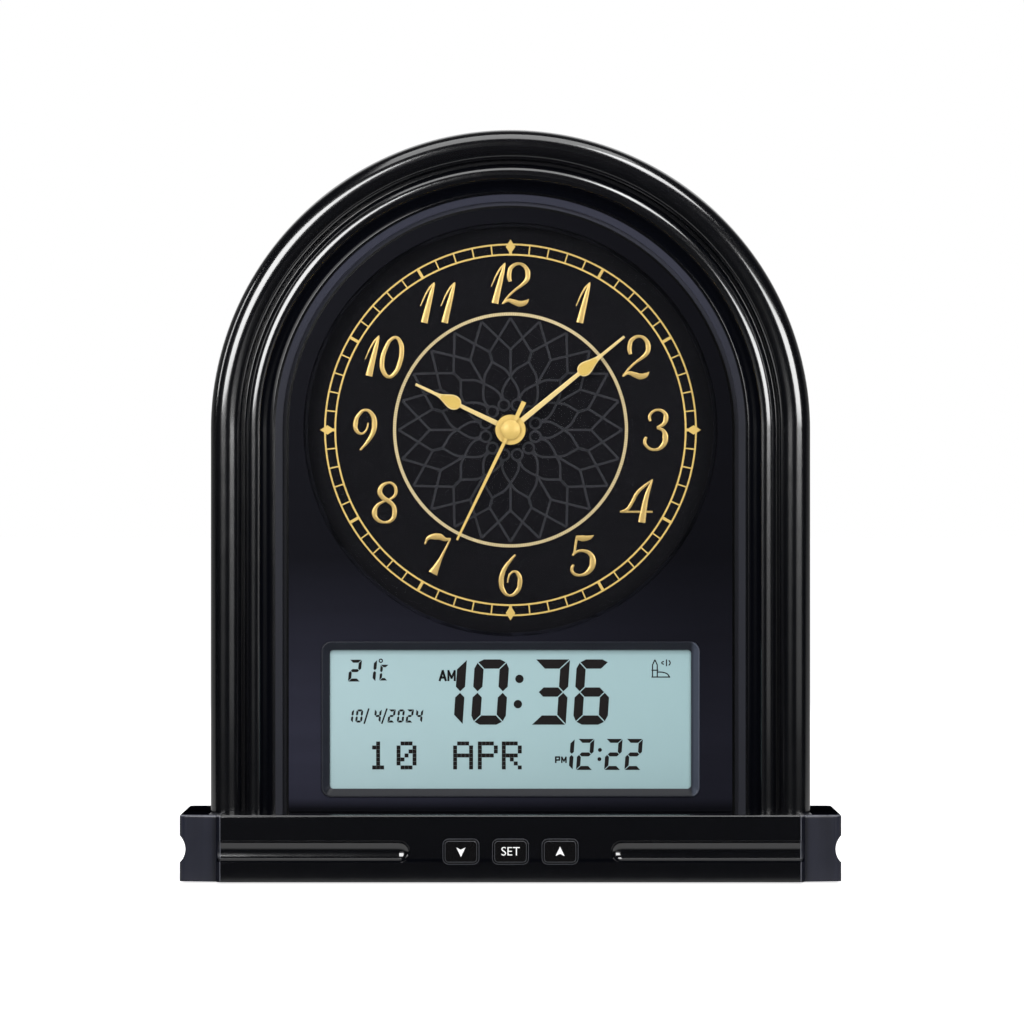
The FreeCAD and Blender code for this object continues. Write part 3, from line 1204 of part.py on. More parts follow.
def train():
    drive = module_of("motion_distance", "cannon", "minute")
    reduce = module_of("motion_distance", "minute_leaf", "hour")
    centre = module_of("third_distance", "centre", "third_leaf")
    third = module_of("third_distance", "third", "second_leaf")
    second = module_of("fourth_distance", "second", "fourth_leaf")
    fourth = module_of("rotor_distance", "fourth", "rotor_leaf")
    hand_front = "(%s-hand_thick)"
    pivots = ("pivot_radius", PIVOT_FRONT, PIVOT_BACK)

    minute_phase = meshed(0, TOOTH_COUNTS["cannon"], TOOTH_COUNTS["minute"], 90)
    wheel("minute_wheel", "0", "motion_distance", [
        (TOOTH_COUNTS["minute_leaf"], reduce, 0, HOUR_START, MINUTE_START),
        (TOOTH_COUNTS["minute"], drive, minute_phase, MINUTE_START, MINUTE_END),
    ], [], [("pivot_radius+run_gap", HOUR_START, MINUTE_END)])
    hour_phase = meshed(0, TOOTH_COUNTS["minute_leaf"], TOOTH_COUNTS["hour"], 270)
    wheel("hour_wheel", "0", "0", [
        (TOOTH_COUNTS["hour"], reduce, hour_phase, HOUR_START, HOUR_END),
    ], [("hour_pipe", hand_front % HOUR_BACK, HOUR_END)],
        [("minute_pipe+run_gap", hand_front % HOUR_BACK, HOUR_END)])
    wheel("centre_wheel", "0", "0", [
        (TOOTH_COUNTS["centre"], centre, 0, CENTRE_START, CENTRE_END),
        (TOOTH_COUNTS["cannon"], drive, 0, LEAF_FRONT, LEAF_BACK),
    ], [("minute_pipe", hand_front % MINUTE_BACK, CENTRE_END)],
        [("second_shaft+run_gap", hand_front % MINUTE_BACK, CENTRE_END)])
    third_leaf = meshed(0, TOOTH_COUNTS["centre"], TOOTH_COUNTS["third_leaf"], num("third_direction"))
    wheel("third_wheel", THIRD_X, THIRD_Z, [
        (TOOTH_COUNTS["third_leaf"], centre, third_leaf, "(%s-leaf_reach)" % CENTRE_START, THIRD_START),
        (TOOTH_COUNTS["third"], third, 0, THIRD_START, THIRD_END),
    ], [pivots])
    second_leaf = meshed(0, TOOTH_COUNTS["third"], TOOTH_COUNTS["second_leaf"], num("third_direction") + 180)
    wheel("seconds_wheel", "0", "0", [
        (TOOTH_COUNTS["second_leaf"], third, second_leaf, "(%s-leaf_reach)" % THIRD_START, SECOND_START),
        (TOOTH_COUNTS["second"], second, 0, SECOND_START, SECOND_END),
    ], [("second_shaft", hand_front % SECOND_BACK, SECOND_START),
        ("pivot_radius", SECOND_START, PIVOT_BACK)])
    fourth_leaf = meshed(0, TOOTH_COUNTS["second"], TOOTH_COUNTS["fourth_leaf"], num("fourth_direction"))
    wheel("intermediate_wheel", FOURTH_X, FOURTH_Z, [
        (TOOTH_COUNTS["fourth_leaf"], second, fourth_leaf, "(%s-leaf_reach)" % SECOND_START, FOURTH_START),
        (TOOTH_COUNTS["fourth"], fourth, 0, FOURTH_START, FOURTH_END),
    ], [pivots])
    rotor_leaf = meshed(0, TOOTH_COUNTS["fourth"], TOOTH_COUNTS["rotor_leaf"], num("rotor_direction"))
    wheel("rotor", ROTOR_X, ROTOR_Z, [
        (TOOTH_COUNTS["rotor_leaf"], fourth, rotor_leaf, "(%s-leaf_reach)" % FOURTH_START,
         "(%s+leaf_reach)" % FOURTH_END),
    ], [pivots, ("magnet_radius", "(%s-magnet_height/2)" % STATOR_MIDDLE,
                 "(%s+magnet_height/2)" % STATOR_MIDDLE)])
    setting = meshed(minute_phase, TOOTH_COUNTS["minute"], TOOTH_COUNTS["setting"], num("setting_direction"))
    knob_start = "(%s+layer_gap)" % MOTOR_BACK
    knurl = num("knob_radius") / (TOOTH_COUNTS["knob"] / 2.0 + num("tooth_tip"))
    wheel("set_knob", SETTING_X, SETTING_Z, [
        (TOOTH_COUNTS["setting"], drive, setting, LEAF_FRONT, LEAF_BACK),
        (TOOTH_COUNTS["knob"], knurl, 0, knob_start, knob_start + "+knob_height"),
    ], [("setting_shaft", LEAF_FRONT, knob_start + "+knob_height/2"),
        ("pivot_radius", PIVOT_FRONT, MINUTE_START)])


def motor_fittings():
    keep(cut("rubber_washer", round_bar("washer_blank", "y", "washer_radius", DIAL_BACK, "washer_thick",
                                        "0", "dial_height"),
             [round_bar("washer_bore", "y", "stem_radius", DIAL_BACK, "washer_thick", "0", "dial_height")]),
         "rubber_washer")
    nut = new_body("fixing_nut")
    hexagon = dial_sketch(nut)
    outline(hexagon, [("nut_radius*cos(%d)" % angle, "nut_radius*sin(%d)" % angle)
                      for angle in range(0, 360, 60)])
    circle(hexagon, "0", "0", "stem_radius")
    pad(nut, hexagon, "nut_thick")

    middle = "(%s+coil_offset)" % ROTOR_X
    coil_top = "(dial_height+%s-stator_side)" % ROTOR_Z
    coil_low = "(%s-coil_length)" % coil_top
    plate_front = "(%s-stator_thick/2)" % STATOR_MIDDLE
    plate_back = "(%s+stator_thick/2)" % STATOR_MIDDLE
    leg_right = "(%s+flange_radius+coil_gap+stator_leg)" % middle
    leg_left = "(%s-stator_leg)" % leg_right
    plate = joined("stator_blank", [
        block("stator_head", "%s-stator_side" % ROTOR_X, leg_right, plate_front, plate_back,
              coil_top, "dial_height+%s+stator_side" % ROTOR_Z),
        block("stator_side_leg", leg_left, leg_right, plate_front, plate_back,
              coil_low + "-stator_leg", coil_top),
        block("stator_foot", middle + "-coil_tube", leg_right, plate_front, plate_back,
              coil_low + "-stator_leg", coil_low),
        block("stator_core", middle + "-coil_tube/2", middle + "+coil_tube/2", plate_front, plate_back,
              coil_low, coil_top),
    ])
    keep(cut("stator", plate, [
        round_bar("rotor_room", "y", "magnet_radius+magnet_gap", plate_front, "stator_thick",
                  ROTOR_X, "dial_height+" + ROTOR_Z)]), "stator")
    winding_low = "(%s+bobbin_flange)" % coil_low
    winding_length = "(coil_length-2*bobbin_flange)"
    tube = joined("bobbin_blank", [
        round_bar("bobbin_tube", "z", "coil_tube", coil_low, "coil_length", middle, STATOR_MIDDLE),
        round_bar("bobbin_low", "z", "flange_radius", coil_low, "bobbin_flange", middle, STATOR_MIDDLE),
        round_bar("bobbin_high", "z", "flange_radius", coil_top + "-bobbin_flange", "bobbin_flange",
                  middle, STATOR_MIDDLE),
    ])
    keep(cut("coil_bobbin", tube, [
        block("core_slot", middle + "-coil_tube/2", middle + "+coil_tube/2", plate_front, plate_back,
              coil_low, coil_top)]), "coil_bobbin")
    keep(cut("coil_winding", round_bar("winding_blank", "z", "coil_radius", winding_low, winding_length,
                                       middle, STATOR_MIDDLE),
             [round_bar("winding_bore", "z", "coil_tube", winding_low, winding_length,
                        middle, STATOR_MIDDLE)]), "coil_winding")

    inner = "(motor_size/2-motor_wall)"
    board_top = "(%s-motor_wall)" % MOTOR_HIGH
    keep(block("movement_pcb", "-" + inner, "-%s+chip_board_width" % inner, STATOR_MIDDLE,
               STATOR_MIDDLE + "+stator_thick", board_top + "-chip_board_height", board_top), "movement_pcb")
    keep(round_bar("quartz_crystal", "x", "crystal_radius", "-%s+3*crystal_radius" % inner, "crystal_length",
                   STATOR_MIDDLE + "+stator_thick+crystal_radius", board_top + "-chip_board_height/2"),
         "quartz_crystal")
    start = "(-(cell_length+nub_height)/2)"
    cell = [
        round_bar("motor_cell", "x", "cell_radius", start, "cell_length", CELL_DEPTH, CELL_LEVEL),
        round_bar("motor_cell_nub", "x", "nub_radius", start + "+cell_length", "nub_height",
                  CELL_DEPTH, CELL_LEVEL)]
    keep(joined("movement_battery", cell), "movement_battery")
    contacts = []
    for side, plate_start, bump_start in (
            (0, "-" + inner, "-%s+contact_thick" % inner),
            (1, inner + "-contact_thick", "(cell_length+nub_height)/2")):
        reach = "(%s-contact_thick-(cell_length+nub_height)/2)" % inner
        contacts.append(joined("motor_contact_%d" % side, [
            block("motor_plate_%d" % side, plate_start, plate_start + "+contact_thick",
                  CELL_DEPTH + "-nub_radius", CELL_DEPTH + "+nub_radius",
                  CELL_LEVEL + "-nub_radius", CELL_LEVEL + "+nub_radius"),
            round_bar("motor_bump_%d" % side, "x", "bump_radius", bump_start, reach,
                      CELL_DEPTH, CELL_LEVEL)]))
    group("movement_contacts", contacts)


# ---- rear cover, battery bay and speaker ----

BAY_HALF = "((cell_length+nub_height)/2+bay_slack)"
BAY_TOP = "(bay_bottom+4*cell_pitch)"
BAY_LEFT = "(bay_x-%s)" % BAY_HALF
BAY_RIGHT = "(bay_x+%s)" % BAY_HALF
DOOR_FRONT = "(case_back-door_thick)"
BAY_FLOOR = "(%s-2*cell_radius-2*door_gap)" % DOOR_FRONT
HINGE_Y = "(case_back-barrel_radius-door_gap/2)"
HINGE_Z = "(bay_bottom+barrel_radius+2*door_gap)"
WELL_LOW = "(dial_height-motor_drop-well_size/2)"
WELL_HIGH = "(dial_height-motor_drop+well_size/2)"
SPEAKER_SCREWS = [("speaker_x+(speaker_radius+speaker_ring/2)*cos(%d)" % angle,
                   "speaker_level+(speaker_radius+speaker_ring/2)*sin(%d)" % angle)
                  for angle in (90, 210, 330)]


def rear_cover():
    body = new_body("rear_cover")
    plate = front_sketch(body, "case_back")
    arch_outline(plate, "(%s-cover_gap)" % CASE_INSIDE, "%s+panel_rest" % BASE_TOP)
    pad(body, plate, "cover_thick")
    well = front_sketch(body, COVER_FRONT)
    rectangle(well, "-well_size/2-tub_wall", "well_size/2+tub_wall",
              WELL_LOW + "-tub_wall", WELL_HIGH + "+tub_wall")
    pad(body, well, "%s-%s-layer_gap" % (COVER_FRONT, MOTOR_BACK))
    bay = front_sketch(body, COVER_FRONT)
    rectangle(bay, BAY_LEFT + "-tub_wall", BAY_RIGHT + "+tub_wall",
              "bay_bottom-tub_wall", BAY_TOP + "+tub_wall")
    pad(body, bay, "%s-%s+tub_wall" % (COVER_FRONT, BAY_FLOOR))
    ring = front_sketch(body, COVER_FRONT)
    circle(ring, "speaker_x", "speaker_level", "speaker_radius+speaker_ring")
    circle(ring, "speaker_x", "speaker_level", "speaker_radius+cover_gap")
    pad(body, ring, "speaker_sheet")

    hollows = front_sketch(body, MOTOR_BACK)
    rectangle(hollows, "-well_size/2", "well_size/2", WELL_LOW, WELL_HIGH)
    pocket(body, hollows, "case_back-%s" % MOTOR_BACK)
    room = front_sketch(body, BAY_FLOOR)
    rectangle(room, BAY_LEFT, BAY_RIGHT, "bay_bottom", BAY_TOP + "-stop_height")
    pocket(body, room, "case_back-%s" % BAY_FLOOR)
    upper = front_sketch(body, BAY_FLOOR)
    rectangle(upper, BAY_LEFT, BAY_RIGHT, BAY_TOP + "-2*stop_height", BAY_TOP)
    pocket(body, upper, "%s-%s" % (COVER_FRONT, BAY_FLOOR))
    rebate = front_sketch(body, DOOR_FRONT)
    rectangle(rebate, BAY_LEFT, BAY_RIGHT, "bay_bottom", BAY_TOP)
    pocket(body, rebate, "door_thick")

    screws = front_sketch(body, COVER_FRONT)
    for across, up in COVER_SCREWS:
        circle(screws, across, up, "screw_radius")
    pocket(body, screws, "cover_thick")
    seats = front_sketch(body, "case_back-head_height")
    for across, up in COVER_SCREWS:
        circle(seats, across, up, "head_radius")
    pocket(body, seats, "head_height")
    fixings = front_sketch(body, COVER_FRONT + "-speaker_sheet")
    for across, up in SPEAKER_SCREWS:
        circle(fixings, across, up, "small_screw")
    pocket(body, fixings, "speaker_screw")

    slots = front_sketch(body, COVER_FRONT)
    bind(slots, AttachmentOffset__Base__x="speaker_x-slot_pitch*(slot_count-1)/2",
         AttachmentOffset__Base__y="speaker_level")
    rounded(slots, "-slot_width/2", "slot_width/2", "-slot_length/2", "slot_length/2",
            "slot_width*slot_round")
    slot = pocket(body, slots, "cover_thick")
    row = body.newObject("PartDesign::LinearPattern", "LinearPattern")
    row.Originals = [slot]
    row.Direction = (slots, ["H_Axis"])
    bind(row, Length="slot_pitch*(slot_count-1)", Occurrences="slot_count")
    body.Tip = row

    pins = body.newObject("Sketcher::SketchObject", "Sketch")
    pins.AttachmentSupport = [(origin_plane(body, "YZ_Plane"), "")]
    pins.MapMode = "FlatFace"
    bind(pins, AttachmentOffset__Base__z=BAY_RIGHT + "+hinge_bite+door_gap")
    circle(pins, HINGE_Y, HINGE_Z, "hinge_pin+hinge_gap")
    pocket(body, pins, "2*(%s+hinge_bite+door_gap)" % BAY_HALF)


def battery_door():
    left = "(%s+door_gap)" % BAY_LEFT
    right = "(%s-door_gap)" % BAY_RIGHT
    rib_low = "(%s-door_rib_drop)" % BAY_TOP
    pieces = [
        block("door_plate", left, right, DOOR_FRONT, "case_back", HINGE_Z, BAY_TOP + "-door_gap"),
        round_bar("door_barrel", "x", "barrel_radius", left, "%s-%s" % (right, left), HINGE_Y, HINGE_Z),
        round_bar("door_pins", "x", "hinge_pin", left + "-door_gap-hinge_bite",
                  "%s-%s+2*(door_gap+hinge_bite)" % (right, left), HINGE_Y, HINGE_Z),
    ]
    for number in range(3):
        rib = "%s-%d*door_rib_pitch" % (rib_low, number)
        pieces.append(block("door_rib_%d" % number, "bay_x-door_rib_length/2", "bay_x+door_rib_length/2",
                            "case_back", "case_back+door_rib_rise", rib, rib + "+door_rib_width"))
    keep(joined("battery_door", pieces), "battery_door")


def bay_cells():
    depth = "(%s+cell_radius+door_gap)" % BAY_FLOOR
    length = "(cell_length+nub_height)"
    cells = []
    contacts = []
    for number in range(4):
        level = "(bay_bottom+%g*cell_pitch)" % (number + 0.5)
        start = "(bay_x-%s/2)" % length
        if number % 2:
            bodies = (start, start + "+cell_length")
        else:
            bodies = (start + "+nub_height", start)
        cells.append(joined("bay_cell_%d" % number, [
            round_bar("bay_can_%d" % number, "x", "cell_radius", bodies[0], "cell_length", depth, level),
            round_bar("bay_nub_%d" % number, "x", "nub_radius", bodies[1], "nub_height", depth, level)]))
        for side, plate, bump in ((0, BAY_LEFT, BAY_LEFT + "+contact_thick"),
                                  (1, BAY_RIGHT + "-contact_thick", "bay_x+%s/2" % length)):
            name = "%d_%d" % (number, side)
            contacts.append(joined("contact_" + name, [
                block("contact_plate_" + name, plate, plate + "+contact_thick", depth + "-contact_depth/2",
                      depth + "+contact_depth/2", level + "-contact_height/2", level + "+contact_height/2"),
                round_bar("contact_bump_" + name, "x", "bump_radius", bump, "bay_slack-contact_thick",
                          depth, level)]))
    group("bay_batteries", cells)
    group("battery_contacts", contacts)


def round_body(label, across, up, corners):
    """A turned piece on an axis along Y; its corners are radius and depth."""
    body = new_body(label)
    bind(body, Placement__Base__x=across, Placement__Base__z=up)
    section = plan_sketch(body, "0")
    outline(section, corners)
    feature_of(body, "Revolution", section, ReferenceAxis=(section, ["V_Axis"]), Angle=360)


def speaker():
    rim_back = COVER_FRONT
    rim_front = "(%s-speaker_sheet)" % COVER_FRONT
    plate = "(%s-speaker_basket)" % COVER_FRONT
    throat = "(speaker_radius-speaker_rim)"
    neck = "(magnet_outer+speaker_sheet)"
    place = ("speaker_x", "speaker_level")
    round_body("speaker_frame", *place, [
        ("voice_hole", plate), (neck, plate), (throat + "+speaker_sheet", rim_front),
        ("speaker_radius", rim_front), ("speaker_radius", rim_back), (throat, rim_back),
        (throat, rim_front + "+cone_seat/2"),
        (neck + "-speaker_sheet/2", plate + "+speaker_sheet"), ("voice_hole", plate + "+speaker_sheet"),
    ])
    middle = "(%s+cone_clear-speaker_sheet)" % plate
    round_body("speaker_cone", *place, [
        ("0", middle + "-cone_thick"),
        ("voice_hole", middle + "-cone_thick"),
        (throat, rim_front + "+cone_seat"),
        (throat, rim_front + "+cone_seat+cone_thick"),
        ("voice_hole", middle),
        ("0", middle),
    ])
    round_body("speaker_magnet", *place, [
        ("0", "%s-speaker_depth" % COVER_FRONT),
        ("yoke_outer", "%s-speaker_depth" % COVER_FRONT),
        ("yoke_outer", "%s-speaker_depth+speaker_sheet" % COVER_FRONT),
        ("magnet_outer", "%s-speaker_depth+speaker_sheet" % COVER_FRONT),
        ("magnet_outer", plate),
        ("0", plate),
    ])
    group("speaker_screws", [
        screw("speaker_screw_%d" % number, "y", 1, rim_front, across, up,
              "small_screw", "small_head", "speaker_screw", "small_head_height")
        for number, (across, up) in enumerate(SPEAKER_SCREWS)])
    group("rear_screws", [
        screw("rear_screw_%d" % number, "y", -1, "(case_back-head_height)", across, up,
              "screw_radius", "head_radius", "screw_length", "head_height")
        for number, (across, up) in enumerate(COVER_SCREWS)])


# ---- wires ----

def lead(points, radius, bend):
    """A round lead along straight runs joined by arcs."""
    places = [FreeCAD.Vector(*(num(text) for text in point)) for point in points]
    edges_of_path = []
    start = places[0]
    for before, corner, after in zip(places, places[1:], places[2:]):
        back = (before - corner).normalize()
        on = (after - corner).normalize()
        first = corner + back * bend
        last = corner + on * bend
        middle = corner + (back + on) * (bend * QUARTER)
        edges_of_path.append(Part.LineSegment(start, first).toShape())
        edges_of_path.append(Part.Arc(first, middle, last).toShape())
        start = last
    edges_of_path.append(Part.LineSegment(start, places[-1]).toShape())
    path = Part.Wire(edges_of_path)
    ring = Part.Wire(Part.makeCircle(radius, places[0], places[1] - places[0]))
    return path.makePipeShell([ring], True, True)


def leads(label, socket, far_up, far_depth):
    """Two parallel leads from a socket on the main board to a place further back and up."""
    across, up = SOCKETS[socket][0], "%s+%g" % (BOARD_LOW, SOCKETS[socket][1])
    pipes = []
    for side in (-1, 1):
        place = "%g+%d*lead_pitch/2" % (across, side)
        pipes.append(lead([
            (place, BOARD_BACK + "+chip_thick", up), (place, "%s+lead_slack" % BOARD_BACK, up),
            (place, "%s+lead_slack" % BOARD_BACK, far_up), (place, far_depth, far_up),
        ], num("lead_radius"), num("lead_bend")))
    feature = doc.addObject("Part::Feature", label)
    feature.Shape = Part.makeCompound(pipes)
    keep(feature, label)


def button_ribbon():
    body = new_body("button_ribbon")
    sketch = body.newObject("Sketcher::SketchObject", "Sketch")
    sketch.AttachmentSupport = [(origin_plane(body, "YZ_Plane"), "")]
    sketch.MapMode = "FlatFace"
    start = "(%s+board_thick)" % BUTTON_BOARD
    low = "(flute_level+button_board_height/4)"
    near = "(%s+chip_thick-ribbon_thick)" % BOARD_BACK
    far = "(%s+ribbon_thick)" % near
    end = "(%s+%g-%g/2)" % (BOARD_LOW, SOCKETS["ribbon_socket"][1], SOCKETS["ribbon_socket"][3])
    outer = "(lead_bend+ribbon_thick)"
    outline(sketch, [
        (start, low),
        ("%s-%s" % (far, outer), low, "%s*%.9f" % (outer, QUARTER)),
        (far, "%s+%s" % (low, outer)),
        (far, end),
        (near, end),
        (near, "%s+%s" % (low, outer), "-lead_bend*%.9f" % QUARTER),
        ("%s-lead_bend" % near, low + "+ribbon_thick"),
        (start, low + "+ribbon_thick"),
    ])
    pad(body, sketch, "ribbon_width", Midplane=True)


# ---- the whole clock ----

base_plinth()
bottom_plate()
plinth_fittings()
for label, across in zip(("down_button", "set_button", "up_button"), button_places()):
    button(label, across)
button_electronics()
arch_case()
front_panel()
display_bezel()
display()
dial_plate()
minute_track()
dial_rings()
bulb_hand("hour_hand", "hour_angle", HOUR_BACK, "hour_pipe", "hour_hub",
          "hour_bulb_start", "hour_bulb", "hour_bulb_end", "hour_length")
bulb_hand("minute_hand", "minute_angle", MINUTE_BACK, "minute_pipe", "minute_hub",
          "minute_bulb_start", "minute_bulb", "minute_bulb_end", "minute_length")
second_hand()
motor_case()
motor_cover()
train()
motor_fittings()
rear_cover()
battery_door()
bay_cells()
speaker()
leads("speaker_leads", "speaker_socket", "speaker_level-speaker_tab", "%s-speaker_lead_stop" % COVER_FRONT)
leads("battery_leads", "battery_socket", "bay_bottom+cell_pitch/2", BAY_FLOOR + "-tub_wall")
button_ribbon()
doc.recompute()

failed = ["%s of %s" % (thing.Name, ", ".join(sorted({user.Label for user in thing.InListRecursive})))
          for thing in doc.Objects if "Invalid" in thing.State or "Error" in thing.State]
if failed:
    raise RuntimeError("failed: " + "; ".join(failed))
for node in nodes:
    if node.Shape.isNull() or not node.Shape.isValid() or not node.Shape.Solids:
        raise RuntimeError("%s has no valid solid" % node.Label)

os.makedirs("parts", exist_ok=True)
for node in nodes:
    node.Shape.exportStep("parts/%s.step" % node.Label)
    box = node.Shape.optimalBoundingBox(True, False)
    print("%-22s %3d solids %10.1f mm3  x %7.1f %7.1f  y %7.1f %7.1f  z %7.1f %7.1f" % (
        node.Label, len(node.Shape.Solids), node.Shape.Volume,
        box.XMin, box.XMax, box.YMin, box.YMax, box.ZMin, box.ZMax))
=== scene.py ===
import json
import math

import bmesh
import bpy
from mathutils import Matrix, Vector

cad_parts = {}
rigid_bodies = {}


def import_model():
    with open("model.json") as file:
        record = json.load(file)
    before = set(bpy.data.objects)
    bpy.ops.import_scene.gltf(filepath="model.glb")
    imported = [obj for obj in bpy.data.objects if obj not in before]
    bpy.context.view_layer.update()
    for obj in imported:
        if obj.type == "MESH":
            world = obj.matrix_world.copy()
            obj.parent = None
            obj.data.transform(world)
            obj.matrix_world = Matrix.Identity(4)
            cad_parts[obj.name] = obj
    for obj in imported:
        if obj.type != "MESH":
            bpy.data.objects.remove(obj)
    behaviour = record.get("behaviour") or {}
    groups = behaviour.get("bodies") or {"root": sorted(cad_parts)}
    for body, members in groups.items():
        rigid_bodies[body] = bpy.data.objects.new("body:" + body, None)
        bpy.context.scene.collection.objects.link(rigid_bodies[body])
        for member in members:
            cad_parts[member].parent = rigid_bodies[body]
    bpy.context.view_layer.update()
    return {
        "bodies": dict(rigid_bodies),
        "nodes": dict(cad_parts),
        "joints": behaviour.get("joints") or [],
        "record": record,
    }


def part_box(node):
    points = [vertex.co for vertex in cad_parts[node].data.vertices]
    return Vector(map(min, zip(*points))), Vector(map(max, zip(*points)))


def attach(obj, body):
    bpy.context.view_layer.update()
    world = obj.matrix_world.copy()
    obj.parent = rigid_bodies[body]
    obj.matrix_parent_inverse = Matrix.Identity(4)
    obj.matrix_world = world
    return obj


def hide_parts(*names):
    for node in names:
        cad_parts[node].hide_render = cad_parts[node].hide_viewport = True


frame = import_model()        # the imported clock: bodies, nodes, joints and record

nodes = frame["nodes"]
mm = 0.001
dialLow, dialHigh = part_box("dial_plate")
ringLow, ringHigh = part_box("chapter_ring")
dialAxis = Vector((0, 0, (dialLow.z + dialHigh.z) / 2))
dialFace = ringHigh.y        # the ring lies on the dial's face


# shader maths

class Link:        # an output of a shader node that can be reckoned with
    def __init__(self, paint, socket):
        self.paint = paint
        self.socket = socket

    def __add__(self, other):
        return self.paint.maths("ADD", self, other)

    def __sub__(self, other):
        return self.paint.maths("SUBTRACT", self, other)

    def __rsub__(self, other):
        return self.paint.maths("SUBTRACT", other, self)

    def __mul__(self, other):
        return self.paint.maths("MULTIPLY", self, other)

    def __truediv__(self, other):
        return self.paint.maths("DIVIDE", self, other)

    def __rtruediv__(self, other):
        return self.paint.maths("DIVIDE", other, self)

    def __pow__(self, other):
        return self.paint.maths("POWER", self, other)

    def __gt__(self, other):
        return self.paint.maths("GREATER_THAN", self, other)

    def __lt__(self, other):
        return self.paint.maths("LESS_THAN", self, other)

    def __abs__(self):
        return self.paint.maths("ABSOLUTE", self)

    def clamped(self):
        return self.paint.maths("ADD", self, 0, clamp=True)

    __radd__ = __add__
    __rmul__ = __mul__


class Paint:        # a node tree being written, of a material or of the world
    def __init__(self, name, owner=None):
        self.owner = owner or bpy.data.materials.new(name)
        self.owner.use_nodes = True
        self.tree = self.owner.node_tree
        self.tree.nodes.clear()

    def node(self, kind, settings=None, values=(), output=0):
        made = self.tree.nodes.new(kind)
        for name, value in (settings or {}).items():
            setattr(made, name, value)
        for name, value in values.items() if isinstance(values, dict) else enumerate(values):
            socket = made.inputs[name]
            if isinstance(value, Link):
                self.tree.links.new(value.socket, socket)
            elif socket.type == "RGBA":
                socket.default_value = (*value, 1)
            else:
                socket.default_value = value
        return Link(self, made.outputs[output]) if made.outputs else None

    def maths(self, operation, *values, clamp=False):
        return self.node("ShaderNodeMath", {"operation": operation, "use_clamp": clamp}, values)

    def rays(self):        # whether a ray comes from the camera, off a mirror or through glass
        return [self.node("ShaderNodeLightPath", output=name)
                for name in ("Is Camera Ray", "Is Glossy Ray", "Is Transmission Ray")]

    def place(self):
        return self.node("ShaderNodeTexCoord", output="Object")

    def along(self, axis, vector=None):        # axis is X, Y or Z
        return self.node("ShaderNodeSeparateXYZ", {}, [vector or self.place()], axis)

    def stretched(self, scale, turn=(0, 0, 0)):
        return self.node("ShaderNodeMapping", {},
                         {"Vector": self.place(), "Rotation": turn, "Scale": scale})

    def noise(self, scale, detail=2.0, vector=None):
        return self.node("ShaderNodeTexNoise", {},
                         {"Vector": vector or self.place(), "Scale": scale, "Detail": detail})

    def mix(self, share, first, second):
        return self.node("ShaderNodeMix", {"data_type": "RGBA"}, {0: share, 6: first, 7: second}, 2)

    def band(self, value, middle, half, soft):        # 1 near the middle, falling to 0
        return (1 - (abs(value - middle) - half) / soft).clamped()

    def bump(self, height, distance):
        return self.node("ShaderNodeBump", {}, {"Height": height, "Distance": distance})

    def finish(self, values):
        return self.node("ShaderNodeBsdfPrincipled", {}, values)

    def surface(self, values, *others):        # each of the others: a finish and the share it takes
        shader = self.finish(values)
        for other, share in others:
            shader = self.node("ShaderNodeMixShader", {}, [share, shader, self.finish(other)])
        self.node("ShaderNodeOutputMaterial", {}, {"Surface": shader})
        return self.owner


def darkened(colour, loss):
    return tuple(value * (1 - loss) for value in colour)


def dress(material, *names):
    for name in names:
        nodes[name].data.materials.clear()
        nodes[name].data.materials.append(material)


# materials

def fromAxis(paint, place):        # distance from the arch's axis, and from the middle plane below it
    up = paint.maths("MAXIMUM", paint.along("Z", place) - dialAxis.z, 0)
    across = paint.along("X", place)
    return (across * across + up * up) ** 0.5


